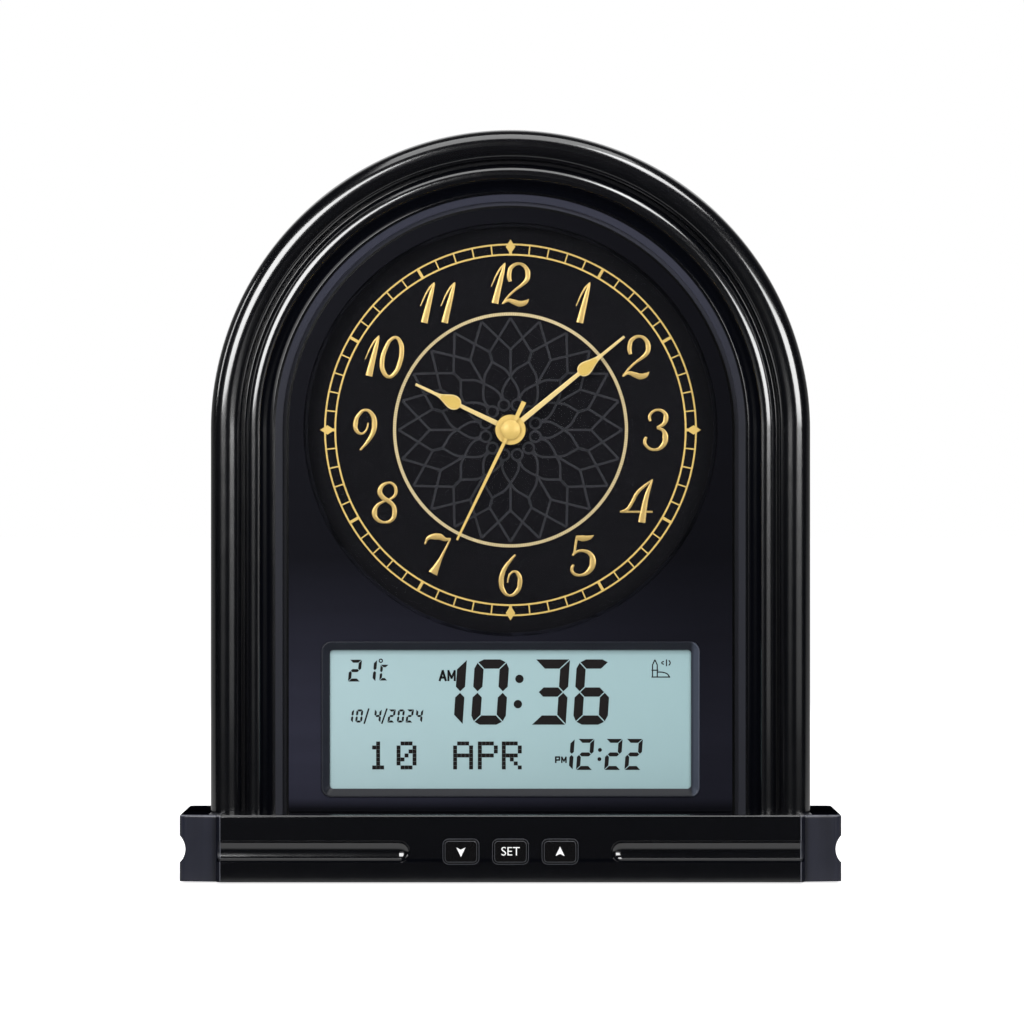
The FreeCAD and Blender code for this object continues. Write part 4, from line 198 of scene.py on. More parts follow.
def polishedBlack():
    look = {"colour": (0.0010, 0.0012, 0.0022), "gloss": 0.105, "arch": 0.045, "haze": 0.06,
            "peel": 0.00002, "coat": 0.085}
    # the wings' colours are a painted sheen: pale and deep, mottled by streaks, with painted shade in a
    # strip where each wing begins
    wing = {"pale": (0.0190, 0.0205, 0.0340), "deep": (0.0045, 0.0052, 0.0100), "inset": 4.5 * mm,
            "back": 36.5 * mm, "rough": 0.28, "sheenStreaks": (110, 30, 7), "gain": 1.8, "less": 0.4,
            "seamShade": 2.2 * mm, "seamSoft": 1.5 * mm, "seamLess": 0.5}
    shade = {"cove": 0.9, "flute": 0.8, "fluteFoot": 9.1 * mm, "fluteHalf": 0.5 * mm,
             "fluteSoft": 0.3 * mm, "fluteDepth": 3 * mm, "face": 0.15 * mm, "faceSoft": 0.1 * mm}
    # painted highlights on the wings: a pale, patchy line just under the plinth's top edge and another up
    # the corner where each wing begins
    edgeGlint = {"colour": (0.150, 0.155, 0.180), "half": 0.16 * mm, "below": 0.6 * mm, "inset": 0.1 * mm,
            "corner": 0.8, "gain": 2.4, "less": 0.5}
    # the lip's blue-grey is a painted reflection, paler at the crown of the arch and darker down the legs
    lip = {"crownReflection": (0.0270, 0.0290, 0.0480), "leg": (0.0080, 0.0090, 0.0160), "middle": 87.2 * mm,
           "half": 1.8 * mm, "soft": 0.5 * mm, "rise": 60 * mm, "rough": 0.25}
    cove = {"middle": 92.6 * mm, "half": 2.2 * mm, "soft": 0.5 * mm}
    wall = {"skin": 0.3 * mm, "front": -14.5 * mm, "satin": 0.2}        # the outer wall, behind the bead
    plinthLow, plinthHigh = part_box("base_plinth")
    caseLow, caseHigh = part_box("arch_case")
    wingStart = caseHigh.x - wing["inset"]
    paint = Paint("polishedBlack")
    haze = paint.noise(140, 4)
    normal = paint.bump(paint.noise(70, 1), look["peel"])
    place = paint.place()
    height = paint.along("Z", place)
    onCase = height > plinthHigh.z
    across = abs(paint.along("X", place))
    depth = paint.along("Y", place)
    onWing = (across > wingStart) * (1 - onCase) * (depth < wing["back"])
    beside = ((across > caseHigh.x) + (depth > caseHigh.y)).clamped()
    onTop = paint.band(height, plinthHigh.z, shade["face"], shade["faceSoft"]) * beside
    edge = paint.band(height, plinthHigh.z - edgeGlint["below"], edgeGlint["half"], edgeGlint["half"])
    corner = paint.band(across, wingStart + edgeGlint["inset"], edgeGlint["half"], edgeGlint["half"])
    fluteFoot = paint.band(height, shade["fluteFoot"], shade["fluteHalf"], shade["fluteSoft"])
    underFlute = fluteFoot * (depth < plinthLow.y + shade["fluteDepth"])
    radius = fromAxis(paint, place)
    onWall = (radius > caseHigh.x - wall["skin"]) * onCase * (depth > wall["front"])
    onLip = paint.band(radius, lip["middle"], lip["half"], lip["soft"]) * onCase
    inCove = paint.band(radius, cove["middle"], cove["half"], cove["soft"]) * onCase
    # how far up the arch a point is, for the lip's painted reflection
    rise = ((height - dialAxis.z) / lip["rise"]).clamped()
    sheenStreaks = paint.noise(1, 4, paint.stretched(wing["sheenStreaks"]))
    seamShade = paint.band(across, wingStart + wing["seamShade"] / 2, wing["seamShade"] / 2, wing["seamSoft"])
    # share of the painted sheen on the wings, lowered in the seam strip as painted shade
    share = (sheenStreaks * wing["gain"] - wing["less"] - seamShade * wing["seamLess"]).clamped()
    # painted highlight along those edges, broken up by the streaks
    paintedLight = ((edge + corner * edgeGlint["corner"]) * (sheenStreaks * edgeGlint["gain"] - edgeGlint["less"])).clamped()
    colour = paint.mix(paintedLight, paint.mix(share, wing["deep"], wing["pale"]), edgeGlint["colour"])
    colour = paint.mix(onWing, look["colour"], colour)
    roughness = look["gloss"] + onCase * look["arch"] + onWall * wall["satin"] + haze * look["haze"]
    shiny = {"Base Color": look["colour"], "Roughness": roughness, "Specular IOR Level": 0.95,
             "Coat Weight": 1 - onWall, "Coat Roughness": look["coat"], "Normal": normal}
    dull = {"Base Color": paint.mix(onLip, colour, paint.mix(rise, lip["leg"], lip["crownReflection"])),
            "Roughness": wing["rough"] + haze * look["haze"] + onLip * lip["rough"],
            "Specular IOR Level": 0.4, "Normal": normal}
    # painted shade: the cove, the foot of each flute and the plinth's top beside and behind the case lose
    # their gloss and render black
    deep = {"Base Color": look["colour"], "Roughness": 0.5, "Specular IOR Level": 0.0}
    shaded = inCove * shade["cove"] + underFlute * shade["flute"] + onTop
    return paint.surface(shiny, (dull, (onWing + onLip).clamped()), (deep, shaded.clamped()))


# low, when given, is the paler colour of a painted sheen on the lower left
def satinBlack(name, colour, roughness, grain, gloss=0.5, low=None, paintedSideLight=False):
    look = {"grainSize": 3200, "cloud": 0.35, "streak": (14, 14, 160), "deepest": 0.75}
    pale = {"start": 0.72, "over": 0.4, "width": 150 * mm, "lean": 0.65, "side": 0.08,
            "foot": 27.5 * mm, "soft": 4 * mm}
    # painted light on the display frame: a pale right side and a dark foot
    paintedLight = {"side": 3.2 * mm, "sideSoft": 1.2 * mm, "sideGlint": (0.046, 0.054, 0.076),
              "foot": 3.4 * mm, "footSoft": 1.0 * mm, "footShade": (0.006, 0.007, 0.011)}
    paint = Paint(name)
    fine = paint.noise(look["grainSize"], 2)
    cloud = paint.noise(1, 3, paint.stretched(look["streak"]))
    if low:        # painted sheen: the panel's lower part and left side are paler, fading out again just at its foot
        up = paint.along("Z")
        fall = ((dialAxis.z * pale["start"] - up) / (dialAxis.z * pale["over"])).clamped()
        side = (0.5 - paint.along("X") / pale["width"]).clamped()
        foot = ((up - pale["foot"]) / pale["soft"]).clamped()
        lean = side * pale["lean"] + (1 - pale["lean"])
        colour = paint.mix((fall * lean + side * pale["side"]).clamped() * foot, colour, low)
        darker = paint.mix(look["deepest"], (0, 0, 0), colour)
    else:
        darker = darkened(colour, look["cloud"])
    colour = paint.mix(cloud, darker, colour)
    if paintedSideLight:        # painted highlight on the frame's right side and painted shade along its foot
        frameLow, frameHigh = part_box("lcd_bezel")
        right = ((paint.along("X") - frameHigh.x + paintedLight["side"]) / paintedLight["sideSoft"]).clamped()
        foot = ((frameLow.z + paintedLight["foot"] - paint.along("Z")) / paintedLight["footSoft"]).clamped()
        colour = paint.mix(foot, colour, paintedLight["footShade"])
        colour = paint.mix(right, colour, paintedLight["sideGlint"])
    return paint.surface({
        "Base Color": colour,
        "Roughness": roughness + fine * 0.12,
        "Specular IOR Level": gloss,
        "Normal": paint.bump(fine, grain),
    })


def moulded(name, colour, roughness=0.45, grain=0.00003, grainSize=1800, shade=0.2):
    paint = Paint(name)
    fine = paint.noise(grainSize, 3)
    cloud = paint.noise(60, 2)
    return paint.surface({
        "Base Color": paint.mix(cloud, darkened(colour, shade), colour),
        "Roughness": roughness + fine * 0.15,
        "Normal": paint.bump(fine, grain),
    })


def metal(name, colour, roughness, stretch=(1, 1, 1), metallic=1.0):
    look = {"lines": 2600, "tarnish": 0.25, "scratch": 0.00001}
    paint = Paint(name)
    lines = paint.noise(look["lines"], 3, paint.stretched(stretch))
    cloud = paint.noise(150, 3)
    return paint.surface({
        "Base Color": paint.mix(cloud, darkened(colour, look["tarnish"]), colour),
        "Metallic": metallic,
        "Roughness": roughness + lines * 0.16,
        "Normal": paint.bump(lines, look["scratch"]),
    })


def gilt(name, pale, deep, metallic=0.55, roughness=0.3, hatch=0):
    look = {"fleck": 5200, "relief": 0.00004, "edge": (0.07, 0.05, 0.018), "edgeWidth": 0.13 * mm,
            "width": 1.4 * mm}
    paint = Paint(name)
    fleck = paint.noise(look["fleck"], 2)
    colour = paint.mix(fleck, deep, pale)
    height = fleck
    if hatch:        # fine radial cuts round the dial, and dark edges that are painted shade along the ring's rims
        across = paint.along("X")
        up = paint.along("Z") - dialAxis.z
        cuts = paint.maths("SINE", paint.maths("ARCTAN2", up, across) * hatch)
        radius = (across ** 2 + up ** 2) ** 0.5
        inset = abs(radius - ringHigh.x + look["width"] / 2)
        onEdge = inset > look["width"] / 2 - look["edgeWidth"]
        colour = paint.mix(onEdge, paint.mix(cuts * 0.5 + 0.5, deep, pale), look["edge"])
        height = fleck * 0.3 + cuts * 0.5
    return paint.surface({
        "Base Color": colour,
        "Metallic": metallic,
        "Roughness": roughness,
        "Normal": paint.bump(height, look["relief"]),
    })


def clearLens():
    paint = Paint("clearLens")
    smear = paint.noise(18, 3)
    return paint.surface({
        "Base Color": (0.02, 0.022, 0.025),
        "Roughness": 0.02 + smear * 0.05,
        "Alpha": 0.05,
    })


def displayGlass():
    look = {"pale": (0.305, 0.430, 0.450), "deep": (0.256, 0.380, 0.398), "shade": (0.086, 0.134, 0.147),
            "shadeFrom": 1.6 * mm, "shadeOver": 2.2 * mm, "shadeCurve": 0.6}
    glassLow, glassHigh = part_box("lcd_glass")
    paint = Paint("displayGlass")
    place = paint.place()
    across = (paint.along("X", place) - glassLow.x) / (glassHigh.x - glassLow.x)
    up = paint.along("Z", place)
    field = paint.mix(across + paint.noise(9, 1) * 0.3 - 0.15, look["pale"], look["deep"])
    # painted shadow of the frame along the top of the window
    edge = (glassHigh.z - look["shadeFrom"] - up) / look["shadeOver"]
    return paint.surface({
        "Base Color": paint.mix(edge.clamped() ** look["shadeCurve"], look["shade"], field),
        "Roughness": 0.34 + paint.noise(2600, 1) * 0.08,
    })


def displayInk():
    paint = Paint("displayInk")
    body = paint.noise(1200, 2)
    return paint.surface({
        "Base Color": paint.mix(body, (0.0065, 0.0055, 0.0055), (0.0115, 0.0095, 0.009)),
        "Roughness": 0.5 + body * 0.1,
        "Specular IOR Level": 0.1,
    })


def printed(name, colour, roughness=0.5, gloss=0.5):
    paint = Paint(name)
    body = paint.noise(2400, 3)
    return paint.surface({
        "Base Color": paint.mix(body, darkened(colour, 0.18), colour),
        "Roughness": roughness + body * 0.1,
        "Specular IOR Level": gloss,
    })


def board(name):
    look = {"mask": (0.012, 0.085, 0.035), "track": (0.03, 0.16, 0.06), "pad": (0.62, 0.62, 0.58),
            "padSize": 0.16}
    paint = Paint(name)
    turned = paint.stretched((1, 1, 1), turn=(math.radians(90), 0, 0))
    lines = paint.node("ShaderNodeTexBrick", {"offset": 0.35, "squash": 0.6}, {
        "Vector": turned, "Color1": (0, 0, 0), "Color2": (0, 0, 0), "Mortar": (1, 1, 1), "Scale": 60.0,
        "Mortar Size": 0.014, "Bias": 0.0, "Brick Width": 0.42, "Row Height": 0.11}, "Fac")
    holes = paint.node("ShaderNodeTexVoronoi", {}, {"Vector": turned, "Scale": 210.0}, "Distance")
    pads = holes < look["padSize"]
    copper = paint.mix(lines, look["mask"], look["track"])
    return paint.surface({
        "Base Color": paint.mix(pads, copper, look["pad"]),
        "Metallic": pads * 0.8,
        "Roughness": 0.3 + paint.noise(900, 2) * 0.15,
        "Normal": paint.bump(lines + pads, 0.00004),
    })


def cellJacket(name, node, pitch, rows):
    look = {"jacket": (0.012, 0.016, 0.03), "band": (0.45, 0.20, 0.07), "steel": (0.6, 0.6, 0.6),
            "bandShare": 0.3, "plusShare": 0.035, "minusShare": 0.985}
    low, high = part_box(node)
    paint = Paint(name)
    place = paint.place()
    across = paint.along("X", place)
    row = (paint.along("Z", place) - low.z) / pitch
    odd = paint.maths("PINGPONG", paint.maths("FLOOR", row), 1.0) if rows > 1 else row * 0 + 1
    share = (across - low.x) / (high.x - low.x)
    fromPlus = odd * (1 - share) + (1 - odd) * share
    band = fromPlus < look["bandShare"]
    caps = ((fromPlus < look["plusShare"]) + (fromPlus > look["minusShare"])).clamped()
    painted = paint.mix(band, look["jacket"], look["band"])
    return paint.surface({
        "Base Color": paint.mix(caps, painted, look["steel"]),
        "Metallic": caps * 0.6 + band * 0.35,
        "Roughness": 0.28 + paint.noise(300, 2) * 0.12,
    })


def woundCopper():
    # darker between the turns of wire: painted shade in the grooves
    look = {"wire": 5200.0, "between": (0.28, 0.10, 0.035), "crest": (0.68, 0.32, 0.14)}
    paint = Paint("woundCopper")
    turns = paint.maths("SINE", paint.along("Z") * look["wire"] * 2 * math.pi)
    return paint.surface({
        "Base Color": paint.mix(turns * 0.5 + 0.5, look["between"], look["crest"]),
        "Metallic": 0.8,
        "Roughness": 0.32,
        "Normal": paint.bump(turns, 0.00004),
    })


def stripes(name, dark, light, axis, pitch, roughness=0.5):
    paint = Paint(name)
    wave = paint.maths("SINE", paint.along(axis) * (2 * math.pi / pitch))
    return paint.surface({
        "Base Color": paint.mix(wave * 0.5 + 0.5, dark, light),
        "Roughness": roughness + paint.noise(800, 2) * 0.1,
        "Normal": paint.bump(wave, 0.00008),
    })


def pressedPaper():
    paint = Paint("pressedPaper")
    fibre = paint.noise(1500, 5)
    return paint.surface({
        "Base Color": paint.mix(fibre, (0.012, 0.012, 0.013), (0.06, 0.058, 0.055)),
        "Roughness": 0.85,
        "Normal": paint.bump(fibre, 0.00015),
    })


polished = polishedBlack()
gold = gilt("goldLacquer", (0.78, 0.55, 0.20), (0.66, 0.445, 0.14))
goldFlat = gilt("flatGold", (0.79, 0.565, 0.17), (0.70, 0.475, 0.12), 0.12, 0.36)
# brighter and darker copies of the hands' gold: painted highlight on the rims, painted shade on the fields
litBladeGold = gilt("bladeGold", (0.95, 0.74, 0.34), (0.86, 0.64, 0.25), 0.35, 0.30)
shadedFieldGold = gilt("fieldGold", (0.83, 0.59, 0.16), (0.70, 0.47, 0.10), 0.35, 0.30)
bezelSatin = satinBlack("bezelSatin", (0.015, 0.017, 0.025), 0.28, 0.00001, 0.28, paintedSideLight=True)
ink = displayInk()
whitePrint = printed("whitePrint", (0.86, 0.86, 0.86))
rosettePrint = printed("rosettePrint", (0.028, 0.028, 0.033), 0.5, 0.1)
# grey for the button rims, which are painted highlights along the edges
rimGlint = printed("rimGlint", (0.055, 0.058, 0.068), 0.3)

dress(polished, "base_plinth", "arch_case")
# the last colour is the paler tone of the panel's painted sheen
dress(satinBlack("panelSatin", (0.0016, 0.0017, 0.0036), 0.34, 0.000012, 0.07, (0.0200, 0.0205, 0.0340)),
      "front_panel")
dress(bezelSatin, "lcd_bezel")
dress(satinBlack("dialMatte", (0.0050, 0.0047, 0.0064), 0.5, 0.00002, 0.04), "dial_plate")
dress(satinBlack("capBlack", (0.0040, 0.0038, 0.0042), 0.20, 0.000008, 0.2),
      "down_button", "set_button", "up_button")
dress(goldFlat, "hour_hand", "minute_hand", "second_hand", "minute_track")
dress(gilt("cutGold", (0.74, 0.61, 0.34), (0.44, 0.34, 0.17), 0.2, 0.34, 330), "chapter_ring")
dress(clearLens(), "dial_lens")
dress(displayGlass(), "lcd_glass")
dress(moulded("grainedBlack", (0.012, 0.012, 0.013), 0.42, 0.00012, 1400), "rear_cover", "battery_door")
dress(moulded("plateBlack", (0.010, 0.010, 0.011), 0.5, 0.00008, 1600), "base_bottom_plate")
dress(moulded("footRubber", (0.018, 0.018, 0.018), 0.75, 0.00006, 900), "rubber_feet", "rubber_washer")
dress(moulded("movementBlack", (0.014, 0.014, 0.015), 0.4, 0.00008, 2000),
      "movement_case", "movement_cover", "set_knob")
dress(moulded("whiteAcetal", (0.72, 0.70, 0.62), 0.3, 0.00001, 1500, 0.08), "minute_wheel", "hour_wheel",
      "centre_wheel", "third_wheel", "seconds_wheel", "intermediate_wheel", "coil_bobbin")
dress(moulded("lightGuide", (0.80, 0.82, 0.80), 0.35, 0.00001, 700, 0.06), "lcd_backlight")
dress(moulded("chipEpoxy", (0.013, 0.013, 0.014), 0.5, 0.00003, 3000), "pcb_chips", "tact_switches")
dress(metal("zincPlate", (0.55, 0.56, 0.58), 0.28, (1, 1, 6)), "base_screws", "case_screws",
      "button_board_screws", "pcb_screws", "speaker_screws", "rear_screws", "stator",
      "movement_contacts", "battery_contacts", "speaker_frame", "quartz_crystal")
dress(metal("turnedBrass", (0.060, 0.042, 0.018), 0.40, (1, 8, 1), 0.8), "fixing_nut")
dress(metal("sinteredMagnet", (0.10, 0.10, 0.11), 0.45, metallic=0.6), "rotor", "speaker_magnet")
dress(board("boardGreen"), "main_pcb", "button_board", "movement_pcb")
dress(stripes("zebraRubber", (0.015, 0.015, 0.017), (0.35, 0.30, 0.26), "X", 0.4 * mm), "zebra_strips")
# the ribbon's darker stripes are painted shade between the ridges of its wires
dress(stripes("ribbonGrey", (0.22, 0.22, 0.24), (0.42, 0.42, 0.44), "X", 1.27 * mm), "button_ribbon")
dress(woundCopper(), "coil_winding")
dress(cellJacket("bayCells", "bay_batteries", 15 * mm, 4), "bay_batteries")
dress(cellJacket("motorCell", "movement_battery", 15 * mm, 1), "movement_battery")
dress(pressedPaper(), "speaker_cone")
dress(printed("redLead", (0.32, 0.012, 0.010), 0.35), "speaker_leads", "battery_leads")
print("materials:", len(bpy.data.materials))


# flat pieces: brush strokes, plates and lettering, drawn facing -Y

standing = Matrix(((1, 0, 0, 0), (0, 0, -1, 0), (0, 1, 0, 0), (0, 0, 0, 1)))
vertexKind, edgeKind = bmesh.types.BMVert, bmesh.types.BMEdge


def inScene(name, data):        # a new object, linked to the scene
    made = bpy.data.objects.new(name, data)
    bpy.context.scene.collection.objects.link(made)
    return made


def only(kind, items):        # the vertices or the edges among what a bmesh call gives
    return [item for item in items if isinstance(item, kind)]


def closedRim(bm, loop):        # the edges round a loop of vertices
    return [bm.edges.new((loop[number - 1], loop[number])) for number in range(len(loop))]


def circle(x, y, radius, count):
    turns = [number * 2 * math.pi / count for number in range(count)]
    return [(x + radius * math.cos(turn), y + radius * math.sin(turn)) for turn in turns]


def slab(bm, corners, thick):        # a plate from the outline of one face to the other, along Y
    face = bm.faces.new([bm.verts.new(corner) for corner in corners])
    made = bmesh.ops.extrude_face_region(bm, geom=[face])
    bmesh.ops.translate(bm, verts=only(vertexKind, made["geom"]), vec=(0, thick, 0))


def meshOf(bm, name):        # the bmesh as a mesh, with its faces turned outwards
    bmesh.ops.recalc_face_normals(bm, faces=bm.faces)
    mesh = bpy.data.meshes.new(name)
    bm.to_mesh(mesh)
    bm.free()
    return mesh


def keepPiece(name, mesh, material, body, angle=30):
    mesh.materials.clear()
    mesh.materials.append(material)
    for face in mesh.polygons:
        face.use_smooth = True
    mesh.set_sharp_from_angle(angle=math.radians(angle))
    piece = inScene(name, mesh)
    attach(piece, body)
    return piece


def curveMesh(curve):        # a curve as a mesh, and the curve thrown away
    holder = inScene(curve.name, curve)
    bpy.context.view_layer.update()
    mesh = bpy.data.meshes.new_from_object(holder.evaluated_get(bpy.context.evaluated_depsgraph_get()))
    bpy.data.objects.remove(holder)
    bpy.data.curves.remove(curve)
    return mesh


def bezier(curve, knots, closed):        # each knot: x, y, radius and the kind of its handles
    spline = curve.splines.new("BEZIER")
    spline.bezier_points.add(len(knots) - 1)
    for knot, (x, y, radius, handle) in zip(spline.bezier_points, knots):
        knot.co = (x, y, 0)
        knot.radius = radius
        knot.handle_left_type = knot.handle_right_type = handle
    spline.use_cyclic_u = closed
    return curveMesh(curve)


def brushStroke(points, unit, closed=False, smooth=True, segments=3):
    curve = bpy.data.curves.new("stroke", "CURVE")
    curve.dimensions = "3D"
    curve.bevel_depth = 1.0
    curve.bevel_resolution = segments
    curve.resolution_u = 6
    curve.use_fill_caps = True
    handle = "AUTO" if smooth else "VECTOR"
    knots = [(across * unit, -down * unit, half * unit, handle) for across, down, half in points]
    return bezier(curve, knots, closed)


def gather(meshes, place, squeeze, top, step=0.0):        # round strokes, pressed low with a flat top
    bm = bmesh.new()
    for number, mesh in enumerate(meshes):
        for vertex in mesh.vertices:
            vertex.co.z = max(-0.02 * mm, min(vertex.co.z * squeeze, top + number * step))
        bm.from_mesh(mesh)
        bpy.data.meshes.remove(mesh)
    bmesh.ops.transform(bm, matrix=Matrix.Translation(place) @ standing, verts=bm.verts)
    return meshOf(bm, "joined")


# the polished moulding and outer wall of the arch

moulding = {
    "skin": 0.03 * mm, "core": 0.5 * mm, "foot": -17.2 * mm, "back": 27.97 * mm, "steps": 120,
    "bead": 11.8 * mm, "beadRise": 5.6 * mm, "beadSteps": 28, "neck": 2 * mm, "step": 1.0 * mm,
    "ovolo": 5.7 * mm, "ovoloRise": 3.4 * mm, "ovoloSwell": 1.6 * mm, "ovoloSteps": 14,
    "cove": 5.0 * mm, "coveFall": 1.8 * mm, "coveDip": 0.8 * mm, "coveSteps": 10,
    "lip": 3.6 * mm, "lipFall": 2.2 * mm, "lipTuck": 1.5 * mm,
}


def bowed(start, end, swell, count):        # points along an arc, swelling to the left of its way
    chord = end - start
    across = Vector((-chord.y, chord.x)).normalized()
    radius = (chord.length ** 2 / 4 + swell ** 2) / (2 * abs(swell))
    half = math.asin(chord.length / 2 / radius)
    if abs(swell) > chord.length / 2:
        half = math.pi - half
    points = []
    for number in range(count + 1):
        turn = half * (2 * number / count - 1)
        rise = radius * (math.cos(turn) - math.cos(half)) * (1 if swell > 0 else -1)
        points.append((start + end) / 2 + chord.normalized() * radius * math.sin(turn) + across * rise)
    return points


def mouldingSection(radius):        # x outwards and y backwards, from the lip round to the back
    size = moulding
    bead = radius - size["bead"]
    ovolo = bead - size["step"]
    cove = ovolo - size["ovolo"]
    slant = cove - size["cove"]
    crest = size["foot"] - size["ovoloRise"]
    lip = Vector((slant - size["lip"], crest + size["coveFall"] + size["lipFall"]))
    arcs = [((slant, crest + size["coveFall"]), (cove, crest), size["coveDip"], size["coveSteps"]),
            ((cove, crest), (ovolo, size["foot"]), -size["ovoloSwell"], size["ovoloSteps"]),
            ((bead, size["foot"]), (radius, size["foot"]), -size["beadRise"], size["beadSteps"])]
    dip, swell, bulge = [bowed(Vector(start), Vector(end), rise, steps) for start, end, rise, steps in arcs]
    back = [Vector((radius, size["foot"] + size["neck"])), Vector((radius, size["back"]))]
    return [lip + Vector((0, size["lipTuck"])), lip, *dip, *swell[1:], *bulge, *back]


def aside(points, distance):        # the same line, shifted to the right of its way
    shifted = []
    for number, point in enumerate(points):
        before = (point - points[max(number - 1, 0)]).normalized()
        after = (points[min(number + 1, len(points) - 1)] - point).normalized()
        way = ((before if before.length else after) + (after if after.length else before)).normalized()
        shifted.append(point + Vector((way.y, -way.x)) * distance)
    return shifted


def caseLacquer():
    caseLow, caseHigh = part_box("arch_case")
    line = mouldingSection(caseHigh.x)
    outer = aside(line, moulding["skin"])
    inner = aside(line, -moulding["core"])
    bm = bmesh.new()
    loop = [bm.verts.new((point.x, point.y, caseLow.z)) for point in outer + inner[::-1]]
    first = closedRim(bm, loop)
    raised = bmesh.ops.extrude_edge_only(bm, edges=first)["geom"]
    bmesh.ops.translate(bm, verts=only(vertexKind, raised), vec=(0, 0, dialAxis.z - caseLow.z))
    turned = bmesh.ops.spin(bm, geom=only(edgeKind, raised), cent=dialAxis, axis=(0, 1, 0),
                            angle=-math.pi, steps=moulding["steps"])["geom_last"]
    lowered = bmesh.ops.extrude_edge_only(bm, edges=only(edgeKind, turned))["geom"]
    bmesh.ops.translate(bm, verts=only(vertexKind, lowered), vec=(0, 0, caseLow.z - dialAxis.z))
    for end in (first, only(edgeKind, lowered)):
        bmesh.ops.edgeloop_fill(bm, edges=end)
    keepPiece("case_lacquer", meshOf(bm, "caseLacquer"), polished, "case", 28)


caseLacquer()
print("case moulding")


# frame of the display and rims of the buttons

def roundedLoop(bm, low, high, inset, corner, depth):        # a rounded rectangle of vertices
    arcSteps = 6
    loop = []
    for turn, x, z in ((0, high.x, high.z), (1, low.x, high.z), (2, low.x, low.z), (3, high.x, low.z)):
        radius = max(corner - inset, 0.05 * mm)
        centreX = x - (inset + radius) * (1 if x == high.x else -1)
        centreZ = z - (inset + radius) * (1 if z == high.z else -1)
        for number in range(arcSteps + 1):
            angle = (turn + number / arcSteps) * math.pi / 2
            across = centreX + radius * math.cos(angle)
            loop.append(bm.verts.new((across, depth, centreZ + radius * math.sin(angle))))
    return loop


def ringOfLoops(name, low, high, section, material, body, angle=25):
    bm = bmesh.new()
    rims = [closedRim(bm, roundedLoop(bm, low, high, inset, corner, depth))
            for inset, corner, depth in section]
    for first, second in zip(rims, rims[1:] + rims[:1]):
        bmesh.ops.bridge_loops(bm, edges=first + second)
    return keepPiece(name, meshOf(bm, name), material, body, angle)


def displayFrame():
    size = {"corner": 3.8 * mm, "inner": 4.6 * mm, "proud": 0.12 * mm, "back": 0.1 * mm, "edge": 0.55 * mm,
            "window": 3.15 * mm, "lip": 1.9 * mm}
    low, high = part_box("lcd_bezel")
    front = low.y
    section = [        # from the back over the front to the window: inset, corner radius, depth
        (-0.05 * mm, size["corner"], high.y - size["back"]),
        (-0.05 * mm, size["corner"], front + 0.15 * mm),
        (0.10 * mm, size["corner"], front - size["proud"] * 0.7),
        (0.30 * mm, size["corner"], front - size["proud"]),
        (size["edge"], size["corner"], front - size["proud"] * 0.4),
        (size["edge"] + 0.15 * mm, size["corner"], front + 0.12 * mm),
        (size["window"] - 0.35 * mm, size["inner"], front + size["lip"] - 0.25 * mm),
        (size["window"], size["inner"], front + size["lip"]),
        (size["window"], size["inner"], high.y - size["back"]),
    ]
    frame = ringOfLoops("display_frame", low, high, section, bezelSatin, "case")
    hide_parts("lcd_bezel")


# thin grey rims round each button's hole and cap: painted highlights along the edges
def buttonRims(button, body):
    size = {"gap": 0.42 * mm, "inset": 0.45 * mm, "edgeDepth": 0.06 * mm, "corner": 1.7 * mm,
            "flange": 1.4 * mm}
    line = 0.14 * mm
    low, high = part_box(button)
    plinthLow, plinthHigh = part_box("base_plinth")
    margin = Vector((size["flange"], 0, size["flange"]))
    capLow, capHigh = low + margin, high - margin
    rims = {        # growth beyond the cap, depth, the body it rides on, slot
        "rim": (size["gap"], plinthLow.y, "case", "gloss_black"),
        "edge": (-size["inset"], low.y + size["edgeDepth"], body, "button_black"),
    }
    for name, (grow, depth, rider, slotName) in rims.items():
        section = [(-grow - line, size["corner"], depth), (-grow, size["corner"], depth - line * 0.6),
                   (-grow + line, size["corner"], depth), (-grow, size["corner"], depth + line)]
        ringOfLoops("%s_%s" % (button, name), capLow, capHigh, section, rimGlint, rider, angle=60)


hands = {        # turn from twelve, hub's radius, and the half width at each distance from the axis, in mm
    "hour": {"turn": 295.6, "hub": 5.0, "line": [
        (4.0, 1.0), (12.0, 0.88), (21.0, 0.72), (21.25, 0.9), (21.6, 1.6), (22.4, 2.3), (23.6, 2.72),
        (24.8, 2.72), (26.0, 2.4), (27.7, 1.7), (29.3, 1.02), (30.8, 0.70), (35.0, 0.60), (40.1, 0.50)]},
    "minute": {"turn": 50.7, "hub": 5.7, "line": [
        (4.8, 1.05), (18.0, 0.95), (33.5, 0.78), (33.75, 0.95), (34.1, 1.6), (34.9, 2.25), (36.0, 2.62),
        (37.2, 2.60), (38.6, 2.2), (40.4, 1.55), (42.2, 1.0), (44.2, 0.68), (50.0, 0.58), (56.0, 0.50)]},
}


def hubRing(hand, body):        # smooth rim round the hub of a hand
    size = {"inner": 3.4 * mm, "thick": 0.5 * mm, "slope": 0.12 * mm, "fall": 0.09 * mm, "steps": 96}
    skin = 0.03 * mm
    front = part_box(hand + "_hand")[0].y
    outer = hands[hand]["hub"] * mm + skin
    section = [(size["inner"], front - skin), (outer - size["slope"], front - skin),
               (outer, front + size["fall"]), (outer, front + size["thick"]),
               (size["inner"], front + size["thick"])]
    bm = bmesh.new()
    loop = [bm.verts.new((across, depth, dialAxis.z)) for across, depth in section]
    bmesh.ops.spin(bm, geom=loop + closedRim(bm, loop), cent=dialAxis, axis=(0, 1, 0),
                   angle=2 * math.pi, steps=size["steps"], use_merge=True)
    name = hand + "_hub"
    keepPiece(name, meshOf(bm, name), goldFlat, body)


